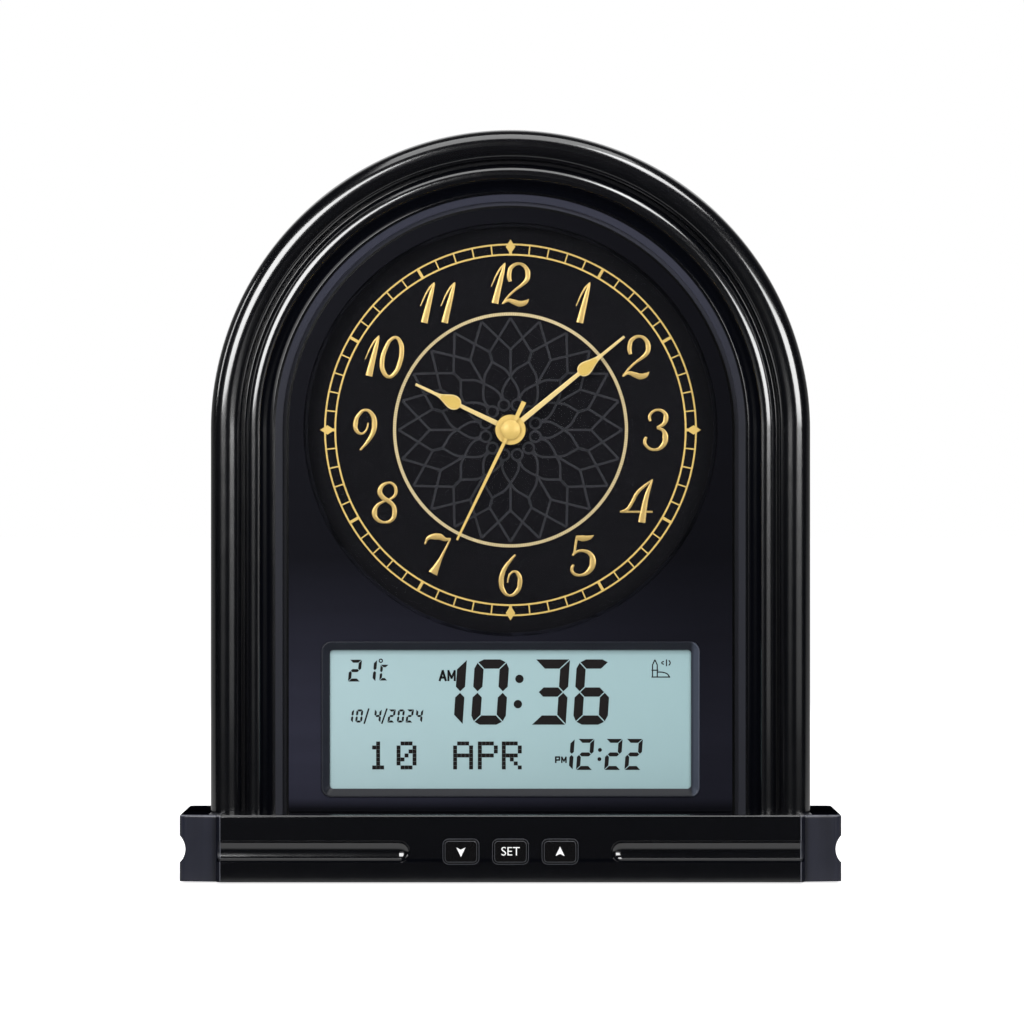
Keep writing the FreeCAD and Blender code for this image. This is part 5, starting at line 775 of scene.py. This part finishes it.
def bladePlate(name, line, corners, thick, bevel, place, turn):        # laid flat, then turned to its time
    curve = bpy.data.curves.new(name, "CURVE")
    curve.dimensions = "2D"
    curve.fill_mode = "BOTH"
    curve.extrude = thick / 2 - bevel
    curve.bevel_depth = bevel
    curve.bevel_resolution = 2
    curve.offset = -bevel
    curve.resolution_u = 5
    outline = [(-half, far) for far, half in line] + [(half, far) for far, half in reversed(line)]
    knots = [(across * mm, far * mm, 1.0, "VECTOR" if far in corners else "AUTO") for across, far in outline]
    mesh = bezier(curve, knots, True)
    mesh.transform(Matrix.Translation(place) @ Matrix.Rotation(math.radians(turn), 4, "Y") @ standing)
    return mesh


def clockHand(hand, body):        # a bevelled plate of brighter gold round a darker field in its bulb: a painted highlight on the rim, painted shade on the face
    size = {"bevel": 0.23 * mm, "lift": 0.02 * mm, "rim": 0.5, "narrow": 0.95, "angle": 20}
    line, turn = hands[hand]["line"], hands[hand]["turn"]
    low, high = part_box(hand + "_hand")
    place = Vector((0, (low.y + high.y) / 2, dialAxis.z))
    corners = (line[0][0], line[2][0], line[-1][0])
    mesh = bladePlate(hand, line, corners, high.y - low.y, size["bevel"], place, turn)
    blade = keepPiece(hand + "_blade", mesh, litBladeGold, body, size["angle"])
    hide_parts(hand + "_hand")
    bulb = line[4:]        # from its shoulder on
    field = [(far, half - size["rim"]) for far, half in bulb if half > size["narrow"]]
    place = Vector((0, low.y, dialAxis.z))
    mesh = bladePlate(hand, field, (), size["lift"] * 2, size["lift"] / 2, place, turn)
    keepPiece(hand + "_field", mesh, shadedFieldGold, body, size["angle"])


displayFrame()
clockHand("hour", "hours")
clockHand("minute", "minutes")
hubRing("hour", "hours")
hubRing("minute", "minutes")
buttonRims("down_button", "button_down")
buttonRims("set_button", "button_set")
buttonRims("up_button", "button_up")
print("frame and rims")


# numerals: brush strokes, set upright round the dial

numerals = {
    "unit": 0.3822 * mm, "ring": 55.4 * mm, "squeeze": 0.22, "top": 0.16 * mm, "step": 0.008 * mm,
    "closed": "80",
    # from the hour's own place on the ring: each digit's left edge, in units
    "pairs": {
        10: [("1", -19.8), ("0", -5.0)],
        11: [("1", -17.7), ("1", 2.7)],
        12: [("1", -19.6), ("2", -8.8)],
    },
}

# each digit's strokes on a grid of units, each point (across, down, half width)
digitStrokes = {
    "1": [[(20.8, 8, 0.9), (18.2, 18, 2.1), (14.6, 32, 2.8), (10.9, 47.3, 3.4)],
          [(21.2, 7.2, 0.5), (16.6, 12.4, 1.0), (12.6, 19, 0.8), (7.3, 30.6, 0.4)]],
    "2": [[(15.7, 24.6, 1.7), (14.7, 20.2, 2.1), (15.1, 15.1, 2.2), (16.8, 10.6, 2.0), (25.2, 6.9, 1.3),
           (32, 11.8, 2.1), (33.3, 16.8, 2.5), (32.6, 22.4, 2.3), (27.4, 28, 1.6), (21.3, 32.5, 1.2),
           (14, 39.2, 1.1), (7.8, 46.8, 0.5)],
          [(8.6, 46.8, 0.4), (13.4, 43.5, 1.6), (19.5, 45, 2.5), (25.5, 46.8, 2.9), (31, 45.4, 2.3),
           (34.4, 42.2, 0.3)]],
    "3": [[(15.7, 19, 1.2), (14.6, 15.7, 1.4), (17, 10.5, 1.3), (23, 7.8, 1.1), (30.2, 11.2, 1.9),
           (31.2, 15.7, 2.5), (29.3, 21.3, 2.0), (22.4, 25.5, 1.1)],
          [(22.4, 25.8, 1.0), (28.6, 28.6, 1.8), (30.5, 34.7, 3.0), (28.6, 42.6, 2.4), (20.2, 47.6, 1.2),
           (11.2, 43.1, 1.4), (10.1, 38.1, 1.6), (11.8, 34.9, 1.3)]],
    "4": [[(36.6, 4.6, 0.6), (34.4, 10, 1.4), (31, 20, 2.3), (28.2, 33, 2.9), (26, 46.6, 3.6)],
          [(37, 3.9, 0.6), (29, 10, 1.4), (21.3, 17.5, 1.7), (15.5, 28, 1.6), (11.5, 33.5, 1.6),
           (4.8, 36, 0.8)],
          [(4.4, 36, 0.9), (20, 36, 1.0), (36.8, 36, 1.0)]],
    "5": [[(13.4, 8.8, 2.0), (19.8, 9.6, 3.0), (26.4, 8.9, 2.2), (31, 6.8, 0.4)],
          [(14.3, 8, 1.2), (12.8, 16, 1.2), (11.5, 24, 1.1), (10.1, 26.8, 0.9)],
          [(10.3, 26.4, 0.6), (14.6, 22.8, 1.2), (21.3, 22.2, 1.4), (28, 25.8, 2.2), (30, 32.5, 3.2),
           (27.4, 40.9, 2.6), (17.9, 46.4, 1.2), (10.1, 43.7, 1.5), (9.2, 39.2, 1.6), (11, 36, 1.0)]],
    "6": [[(23, 4.3, 0.9), (18.5, 9.5, 1.3), (13.4, 16.2, 1.9), (10.1, 23.5, 2.4), (9, 31.4, 2.5),
           (10.6, 39.2, 2.2), (16.8, 44.8, 1.1), (24.6, 40.9, 2.0), (27.6, 31.4, 2.4), (26.3, 24.1, 2.0),
           (22.4, 20.9, 1.1), (17.9, 23.5, 1.0), (16, 28, 0.8), (15.3, 32, 0.6)]],
    "7": [[(3.6, 17.7, 0.7), (6.7, 11.8, 1.6), (13.4, 10.1, 3.1), (19, 10.5, 3.0), (24, 13, 1.8),
           (29.3, 12.3, 0.8)],
          [(28.9, 12.5, 0.8), (24.1, 22.4, 1.0), (19.6, 31.4, 1.5), (15.7, 39.2, 2.8), (11.6, 47, 4.6)]],
    "8": [[(21.3, 7.6, 1.1), (13.1, 15.1, 2.4), (15.7, 21.8, 2.4), (21.3, 25.5, 2.0), (26.3, 30.2, 2.0),
           (27.7, 36.4, 2.4), (25.8, 43.7, 1.9), (17.9, 47, 1.1), (9.5, 43.1, 2.0), (7.7, 37, 2.6),
           (10.6, 30.2, 1.6), (16.8, 26.3, 1.1), (23, 24, 1.0), (28, 20.2, 1.4), (29.1, 14.6, 1.6),
           (26.9, 9.5, 1.3)]],
    "9": [[(20.2, 17.9, 0.7), (19.3, 22.4, 0.8), (16.8, 26.9, 1.0), (13.2, 28.6, 1.1), (8.4, 25.2, 1.9),
           (7.6, 18.5, 2.3), (10.6, 10.1, 1.8), (17.9, 5, 1.2), (24.6, 10.1, 2.2), (26.5, 19, 2.7),
           (25.2, 26.9, 2.4), (20.2, 35.8, 1.7), (12.3, 45, 0.9)]],
    "0": [[(16.9, 7.3, 1.4), (21.4, 12.6, 2.2), (22.6, 20.5, 2.4), (20.5, 33, 2.3), (15.6, 43, 2.0),
           (9.8, 46.5, 1.6), (4.2, 41, 2.2), (3, 31, 2.4), (7.5, 16, 2.0), (11.6, 9.6, 1.6)]],
}


def strokeBox(strokes):
    points = [point for stroke in strokes for point in stroke]
    return (min(x - half for x, down, half in points), max(x + half for x, down, half in points),
            min(down - half for x, down, half in points), max(down + half for x, down, half in points))


def numeral(hour):
    digits = numerals["pairs"].get(hour)
    if not digits:
        left, right, top, low = strokeBox(digitStrokes[str(hour)])
        digits = [(str(hour), (left - right) / 2)]
    meshes = []
    for digit, start in digits:
        strokes = digitStrokes[digit]
        left, right, top, low = strokeBox(strokes)
        for stroke in strokes:
            points = [(x - left + start, down - (top + low) / 2, half) for x, down, half in stroke]
            meshes.append(brushStroke(points, numerals["unit"], closed=digit in numerals["closed"]))
    angle = math.radians(30 * hour)
    place = dialAxis + Vector((math.sin(angle), 0, math.cos(angle))) * numerals["ring"]
    place.y = dialFace
    mesh = gather(meshes, place, numerals["squeeze"], numerals["top"], numerals["step"])
    keepPiece("numeral_%d" % hour, mesh, gold, "case", 35)


for hour in range(1, 13):
    numeral(hour)
print("numerals")


# rosette printed on the dial: petals, arches and a zigzag round the axis

rosette = {
    "line": 0.46, "lift": 0.05, "top": 0.03 * mm, "fold": 12,
    "tips": 42.7, "knots": 30.7, "petal": 20.3,
    "arch": [(23.0, 5.0), (25.5, 12.0), (27.0, 14.8)],
    "petalSide": [(17.5, 1.9), (14.6, 3.1), (12.5, 3.0), (11.5, 2.5)],
    "eye": 9.8, "eyeRadius": 2.05,
}


def polarPoint(radius, degrees, shift=0.0):
    angle = math.radians(degrees)
    return (radius * math.sin(angle) + shift * math.cos(angle),
            -radius * math.cos(angle) + shift * math.sin(angle), rosette["line"])


def rosetteStrokes():
    step = 360 / rosette["fold"]
    half = step / 2
    lines = []
    curves = []
    for number in range(2 * rosette["fold"]):
        here = number * half
        for side in (-1, 1):
            knot = polarPoint(rosette["knots"], here + side * half)
            lines.append([polarPoint(rosette["tips"], here), knot])
    for number in range(rosette["fold"]):
        here = number * step
        petal = polarPoint(rosette["petal"], here)
        lines.append([petal, polarPoint(rosette["knots"], here)])
        for side in (-1, 1):
            arch = [polarPoint(radius, here + side * turn) for radius, turn in rosette["arch"]]
            curves.append([petal, *arch, polarPoint(rosette["knots"], here + side * half)])
            leaf = [polarPoint(radius, here, side * wide) for radius, wide in rosette["petalSide"]]
            curves.append([petal, *leaf])
    return lines, curves


def drawRosette():
    lines, curves = rosetteStrokes()
    meshes = [brushStroke(points, mm, smooth=False, segments=1) for points in lines]
    meshes += [brushStroke(points, mm, segments=1) for points in curves]
    for number in range(rosette["fold"]):
        x, down, half = polarPoint(rosette["eye"], (number + 0.5) * 360 / rosette["fold"])
        ring = [(*point, half) for point in circle(x, down, rosette["eyeRadius"], 6)]
        meshes.append(brushStroke(ring, mm, closed=True, segments=1))
    place = Vector((0, dialFace, dialAxis.z))
    mesh = gather(meshes, place, rosette["lift"], rosette["top"])
    keepPiece("rosette", mesh, rosettePrint, "case", 60)


drawRosette()
print("rosette")


# display: segments, dots and letters on the glass, placed from the middle of the window

glassLow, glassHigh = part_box("lcd_glass")
window = {"x": (glassLow.x + glassHigh.x) / 2, "z": (glassLow.z + glassHigh.z) / 2,
          "front": glassLow.y, "thick": 0.05 * mm}

lit = {"0": "abcdef", "1": "bc", "2": "abged", "3": "abgcd", "4": "fgbc", "6": "afgedc", "C": "afed"}

# digits, width and height, line, gap, slant, foot, left edge of each, dots (x, z, radius)
rows = [
    {"digits": "1036", "size": (13.1, 24.8), "line": 3.5, "gap": 0.28, "slant": 0.065, "foot": -2.1,
     "left": (-31.3, -15.1, 7.9, 23.7), "dots": [(3.4, 15.3, 1.6), (2.8, 5.7, 1.6)]},
    {"digits": "1222", "size": (6.2, 11.8), "line": 1.5, "gap": 0.2, "slant": 0.07, "foot": -19.3,
     "left": (17.4, 24.9, 35.6, 43.3), "dots": [(34.0, -11.7, 0.75), (33.8, -15.2, 0.75)]},
    {"digits": "21", "size": (4.6, 8.3), "line": 1.15, "gap": 0.16, "slant": 0.09, "foot": 14.3,
     "left": (-61.8, -56.0), "dots": []},
    {"digits": "C", "size": (3.1, 6.0), "line": 0.95, "gap": 0.12, "slant": 0.09, "foot": 14.7,
     "left": (-49.9,), "dots": []},
    {"digits": "1042024", "size": (2.6, 5.0), "line": 0.80, "gap": 0.08, "slant": 0.12, "foot": -1.3,
     "left": (-62.6, -59.1, -52.1, -46.8, -43.3, -39.9, -36.3), "dots": []},
]
dateSlashes = {"ends": [[(-55.6, -1.6), (-53.9, 3.9)], [(-48.9, -1.6), (-47.0, 3.9)]], "line": 0.6}

# letters of straight strokes in a unit square: left edge, foot, width, height, line of each word's letters
letterStrokes = {
    "A": [(0.0, 0.0, 0.5, 1.0), (1.0, 0.0, 0.5, 1.0), (0.2, 0.3, 0.8, 0.3)],
    "M": [(0.0, 0.0, 0.0, 1.0), (1.0, 0.0, 1.0, 1.0), (0.0, 1.0, 0.5, 0.25), (1.0, 1.0, 0.5, 0.25)],
    "P": [(0.0, 0.0, 0.0, 1.0), (0.0, 1.0, 1.0, 1.0), (0.0, 0.46, 1.0, 0.46), (1.0, 0.46, 1.0, 1.0)],
}
words = [("A", -26.9, 14.7, 2.3, 3.7, 0.85), ("M", -23.6, 14.7, 2.4, 3.7, 0.78),
         ("P", 17.2, -16.5, 1.4, 2.1, 0.60), ("M", 19.5, -16.5, 1.6, 2.1, 0.54)]

dotLetters = {
    "left": {"1": -54.1, "0": -43.3, "A": -21.8, "P": -12.4, "R": -3.3}, "foot": -19.1,
    "pitch": 1.52, "dot": 1.48,
    "1": ("00100", "01100", "00100", "00100", "00100", "00100", "01110"),
    "0": ("01110", "10001", "10011", "10101", "11001", "10001", "01110"),
    "A": ("01110", "10001", "10001", "11111", "10001", "10001", "10001"),
    "P": ("11110", "10001", "10001", "11110", "10000", "10000", "10000"),
    "R": ("11110", "10001", "10001", "11110", "10100", "10010", "10001"),
}


def plate(bm, corners, slant=0.0, foot=0.0):        # a thin plate on the glass from its outline, in mm
    front = window["front"] - window["thick"]
    slab(bm, [(window["x"] + (x + slant * (z - foot)) * mm, front, window["z"] + z * mm)
              for x, z in corners], window["thick"])


def bar(bm, start, end, line):        # a straight stroke, a little longer than its points
    way = (Vector(end) - Vector(start)).normalized() * line / 2
    across = Vector((-way.y, way.x))
    start, end = Vector(start) - way * 0.6, Vector(end) + way * 0.6
    plate(bm, [start - across, end - across, end + across, start + across])


def segment(name, wide, tall, line, gap, rounded):        # the outline of segment a to g of a digit
    half = tall / 2
    cut = 0.3 * line if rounded else 0
    soft = line * 0.9 if rounded else gap
    if name in "ad":
        corners = [(soft + gap, tall), (wide - soft - gap, tall), (wide - cut - gap, tall - cut),
                   (wide - line - gap, tall - line), (line + gap, tall - line), (cut + gap, tall - cut)]
    elif name == "g":
        corners = [(line / 2 + gap, half), (line + gap, half + line / 2),
                   (wide - line - gap, half + line / 2), (wide - line / 2 - gap, half),
                   (wide - line - gap, half - line / 2), (line + gap, half - line / 2)]
    else:
        corners = [(0, tall - soft - gap), (cut, tall - cut - gap), (line, tall - line - gap),
                   (line, half + line / 2 + gap), (line / 2, half + gap), (0, half + line / 2 + gap)]
    if name in "bc":
        corners = [(wide - x, z) for x, z in corners]
    if name in "cde":
        corners = [(x, tall - z) for x, z in corners]
    return corners


def drawDigits():
    bm = bmesh.new()
    for row in rows:
        wide, tall = row["size"]
        for digit, left in zip(row["digits"], row["left"]):
            for name in lit[digit]:
                corners = segment(name, wide, tall, row["line"], row["gap"], digit in "06")
                plate(bm, [(left + x, row["foot"] + z) for x, z in corners], row["slant"], row["foot"])
        for x, z, radius in row["dots"]:
            plate(bm, circle(x, z, radius, 20))
    for start, end in dateSlashes["ends"]:
        bar(bm, start, end, dateSlashes["line"])
    for letter, left, foot, wide, tall, line in words:
        for x0, z0, x1, z1 in letterStrokes[letter]:
            bar(bm, (left + x0 * wide, foot + z0 * tall), (left + x1 * wide, foot + z1 * tall), line)
    side = dotLetters["dot"]
    for letter, left in dotLetters["left"].items():
        for level, bits in enumerate(reversed(dotLetters[letter])):
            for column, bit in enumerate(bits):
                if bit == "1":
                    x = left + column * dotLetters["pitch"]
                    z = dotLetters["foot"] + level * dotLetters["pitch"]
                    plate(bm, [(x, z), (x + side, z), (x + side, z + side), (x, z + side)])
    keepPiece("display_segments", meshOf(bm, "segments"), ink, "case")


def displaySymbols():
    look = {"line": 0.23, "squeeze": 0.2, "top": 0.04 * mm, "x": 54.9 * mm, "z": 16.2 * mm}
    minaret = [[(-0.9, 0), (-0.9, -4.4)], [(0.9, 0), (0.9, -4.4)], [(-1.3, -2.4), (1.3, -2.4)],
               [(-0.9, -4.4), (0, -6.4)], [(0.9, -4.4), (0, -6.4)], [(-1.3, 0.2), (5.8, 0.2)]]
    dome = [[(0.9, -1.7), (3.0, -1.6), (4.8, -0.9), (5.6, 0.2)]]
    waves = [[(3.4, -4.6), (2.6, -5.2), (3.4, -5.8)], [(4.4, -3.9), (4.4, -6.5)],
             [(5.3, -4.2), (5.8, -5.2), (5.3, -6.2)]]
    degree = [circle(-104.2, -6.0, 0.6, 6)]
    groups = ((minaret, False, False), (dome + waves, False, True), (degree, True, True))
    meshes = [brushStroke([(x, down, look["line"]) for x, down in points], mm, closed, smooth, 2)
              for strokes, closed, smooth in groups for points in strokes]
    place = Vector((window["x"] + look["x"], window["front"], window["z"] + look["z"]))
    mesh = gather(meshes, place, look["squeeze"], look["top"])
    keepPiece("display_symbols", mesh, ink, "case", 60)


drawDigits()
displaySymbols()
print("display")


# legends on the caps of the buttons

legends = {"thick": 0.04 * mm, "arrow": [(-1.7, 1.6), (0, 0.75), (1.7, 1.6), (0, -2.0)],
           "letters": 4.65 * mm, "bold": -0.02 * mm}


def legendPlace(button):
    low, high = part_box(button)
    return Vector(((low.x + high.x) / 2, low.y, (low.z + high.z) / 2))


def arrow(name, button, body, side):        # side is 1 to point down, -1 to point up
    place = legendPlace(button)
    bm = bmesh.new()
    slab(bm, [(place.x + x * mm, place.y, place.z + side * z * mm) for x, z in legends["arrow"]],
         -legends["thick"])
    keepPiece(name, meshOf(bm, "arrow"), whitePrint, body)


def setLegend():
    curve = bpy.data.curves.new("set_legend", "FONT")
    curve.body = "SET"
    curve.size = legends["letters"]
    curve.offset = legends["bold"]
    curve.extrude = legends["thick"] / 2
    curve.align_x = "CENTER"
    curve.align_y = "CENTER"
    mesh = curveMesh(curve)
    mesh.transform(Matrix.Translation(legendPlace("set_button")) @ standing)
    keepPiece("set_legend", mesh, whitePrint, "button_set")


arrow("arrow_down", "down_button", "button_down", 1)
arrow("arrow_up", "up_button", "button_up", -1)
setLegend()
print("legends")


# floor, light and camera

studio = {
    "distance": 2.3265, "eye": 0.1402, "aside": 0.00057, "lens": 213.9,
    "ambient": 0.22, "gloom": 0.015, "behind": 0.16, "behindGain": 1.6, "behindLess": 0.2,
    "middle": 0.15, "floorSize": 60.0, "floorWhite": 0.85, "floorNear": -0.055, "floorFade": 0.03,
    "floorGloss": 0.5, "floorMirror": 0.1, "floorPale": (0.86, 0.86, 0.86), "floorDim": (0.02, 0.02, 0.02),
}

# each softbox: direction from the clock (azimuth to the right, elevation), distance, width, height, watts
softboxes = {
    "rightBox": (39, 11, 0.90, 0.50, 0.26, 3.2),
    "rightLow": (36, -3, 0.90, 0.62, 0.15, 0.10),
    "leftBox": (-27, 18, 0.90, 0.46, 0.42, 4.9),
    "leftLow": (-30, -3, 0.90, 0.40, 0.15, 0.02),
    "leftStrip": (-84, 20, 0.90, 0.10, 0.36, 0.6),
    "topBox": (0, 70, 0.85, 0.75, 0.50, 2.4),
    "topRight": (38, 50, 0.85, 0.26, 0.26, 1.5),
    "rearBox": (180, 30, 1.8, 2.4, 1.6, 9.0),
}


def softbox(name, azimuth, elevation, distance, wide, tall, power):
    lamp = bpy.data.lights.new(name, "AREA")
    lamp.shape = "RECTANGLE"
    lamp.size = wide
    lamp.size_y = tall
    lamp.energy = power
    holder = inScene(name, lamp)
    turn, rise = math.radians(azimuth), math.radians(elevation)
    away = Vector((math.sin(turn) * math.cos(rise), -math.cos(turn) * math.cos(rise), math.sin(rise)))
    holder.location = Vector((0, 0, studio["middle"])) + away * distance
    holder.rotation_euler = away.to_track_quat("Z", "Y").to_euler()
    holder.visible_camera = False


def paleWorld():
    world = bpy.data.worlds.new("paleStudio")
    bpy.context.scene.world = world
    paint = Paint("paleStudio", world)
    camera, glossy, through = paint.rays()
    behind = paint.along("Y", paint.node("ShaderNodeTexCoord", output="Generated"))
    behind = (behind * studio["behindGain"] - studio["behindLess"]).clamped()
    seen = (camera + through + glossy * (behind * studio["behind"] + studio["gloom"])).clamped()
    plain = (1 - camera) * (1 - through) * (1 - glossy) * studio["ambient"]
    glow = paint.node("ShaderNodeBackground", {}, {"Color": (1, 1, 1), "Strength": seen + plain})
    paint.node("ShaderNodeOutputWorld", {}, {"Surface": glow})


def paleFloor():
    bm = bmesh.new()
    bmesh.ops.create_grid(bm, x_segments=1, y_segments=1, size=studio["floorSize"] / 2)
    mesh = bpy.data.meshes.new("floor")
    bm.to_mesh(mesh)
    bm.free()
    paint = Paint("paleFloor")
    camera, glossy, through = paint.rays()
    ahead = ((studio["floorNear"] - paint.along("Y")) / studio["floorFade"]).clamped()
    seen = (camera + through + glossy * (1 - ahead) * studio["floorMirror"]).clamped()
    strength = seen * studio["floorWhite"]
    glow = paint.node("ShaderNodeEmission", {}, {"Color": (1, 1, 1), "Strength": strength})
    white = paint.node("ShaderNodeBsdfDiffuse", {}, {"Color": studio["floorPale"]})
    dim = paint.node("ShaderNodeBsdfDiffuse", {}, {"Color": studio["floorDim"]})
    mirror = ((ahead + (1 - studio["floorGloss"])) * glossy).clamped()
    plain = paint.node("ShaderNodeMixShader", {}, [mirror, white, dim])
    both = paint.node("ShaderNodeAddShader", {}, [glow, plain])
    paint.node("ShaderNodeOutputMaterial", {}, {"Surface": both})
    mesh.materials.append(paint.owner)
    floor = inScene("floor", mesh)


def standCamera():
    lens = bpy.data.cameras.new("camera")
    lens.lens = studio["lens"]
    lens.sensor_width = 36.0
    camera = inScene("camera", lens)
    camera.location = (studio["aside"], -studio["distance"], studio["eye"])
    camera.rotation_euler = (math.radians(90), 0, 0)
    bpy.context.scene.camera = camera


for name, settings in softboxes.items():
    softbox(name, *settings)
paleWorld()
paleFloor()
standCamera()
bpy.context.scene.view_settings.view_transform = "Standard"
print("studio")
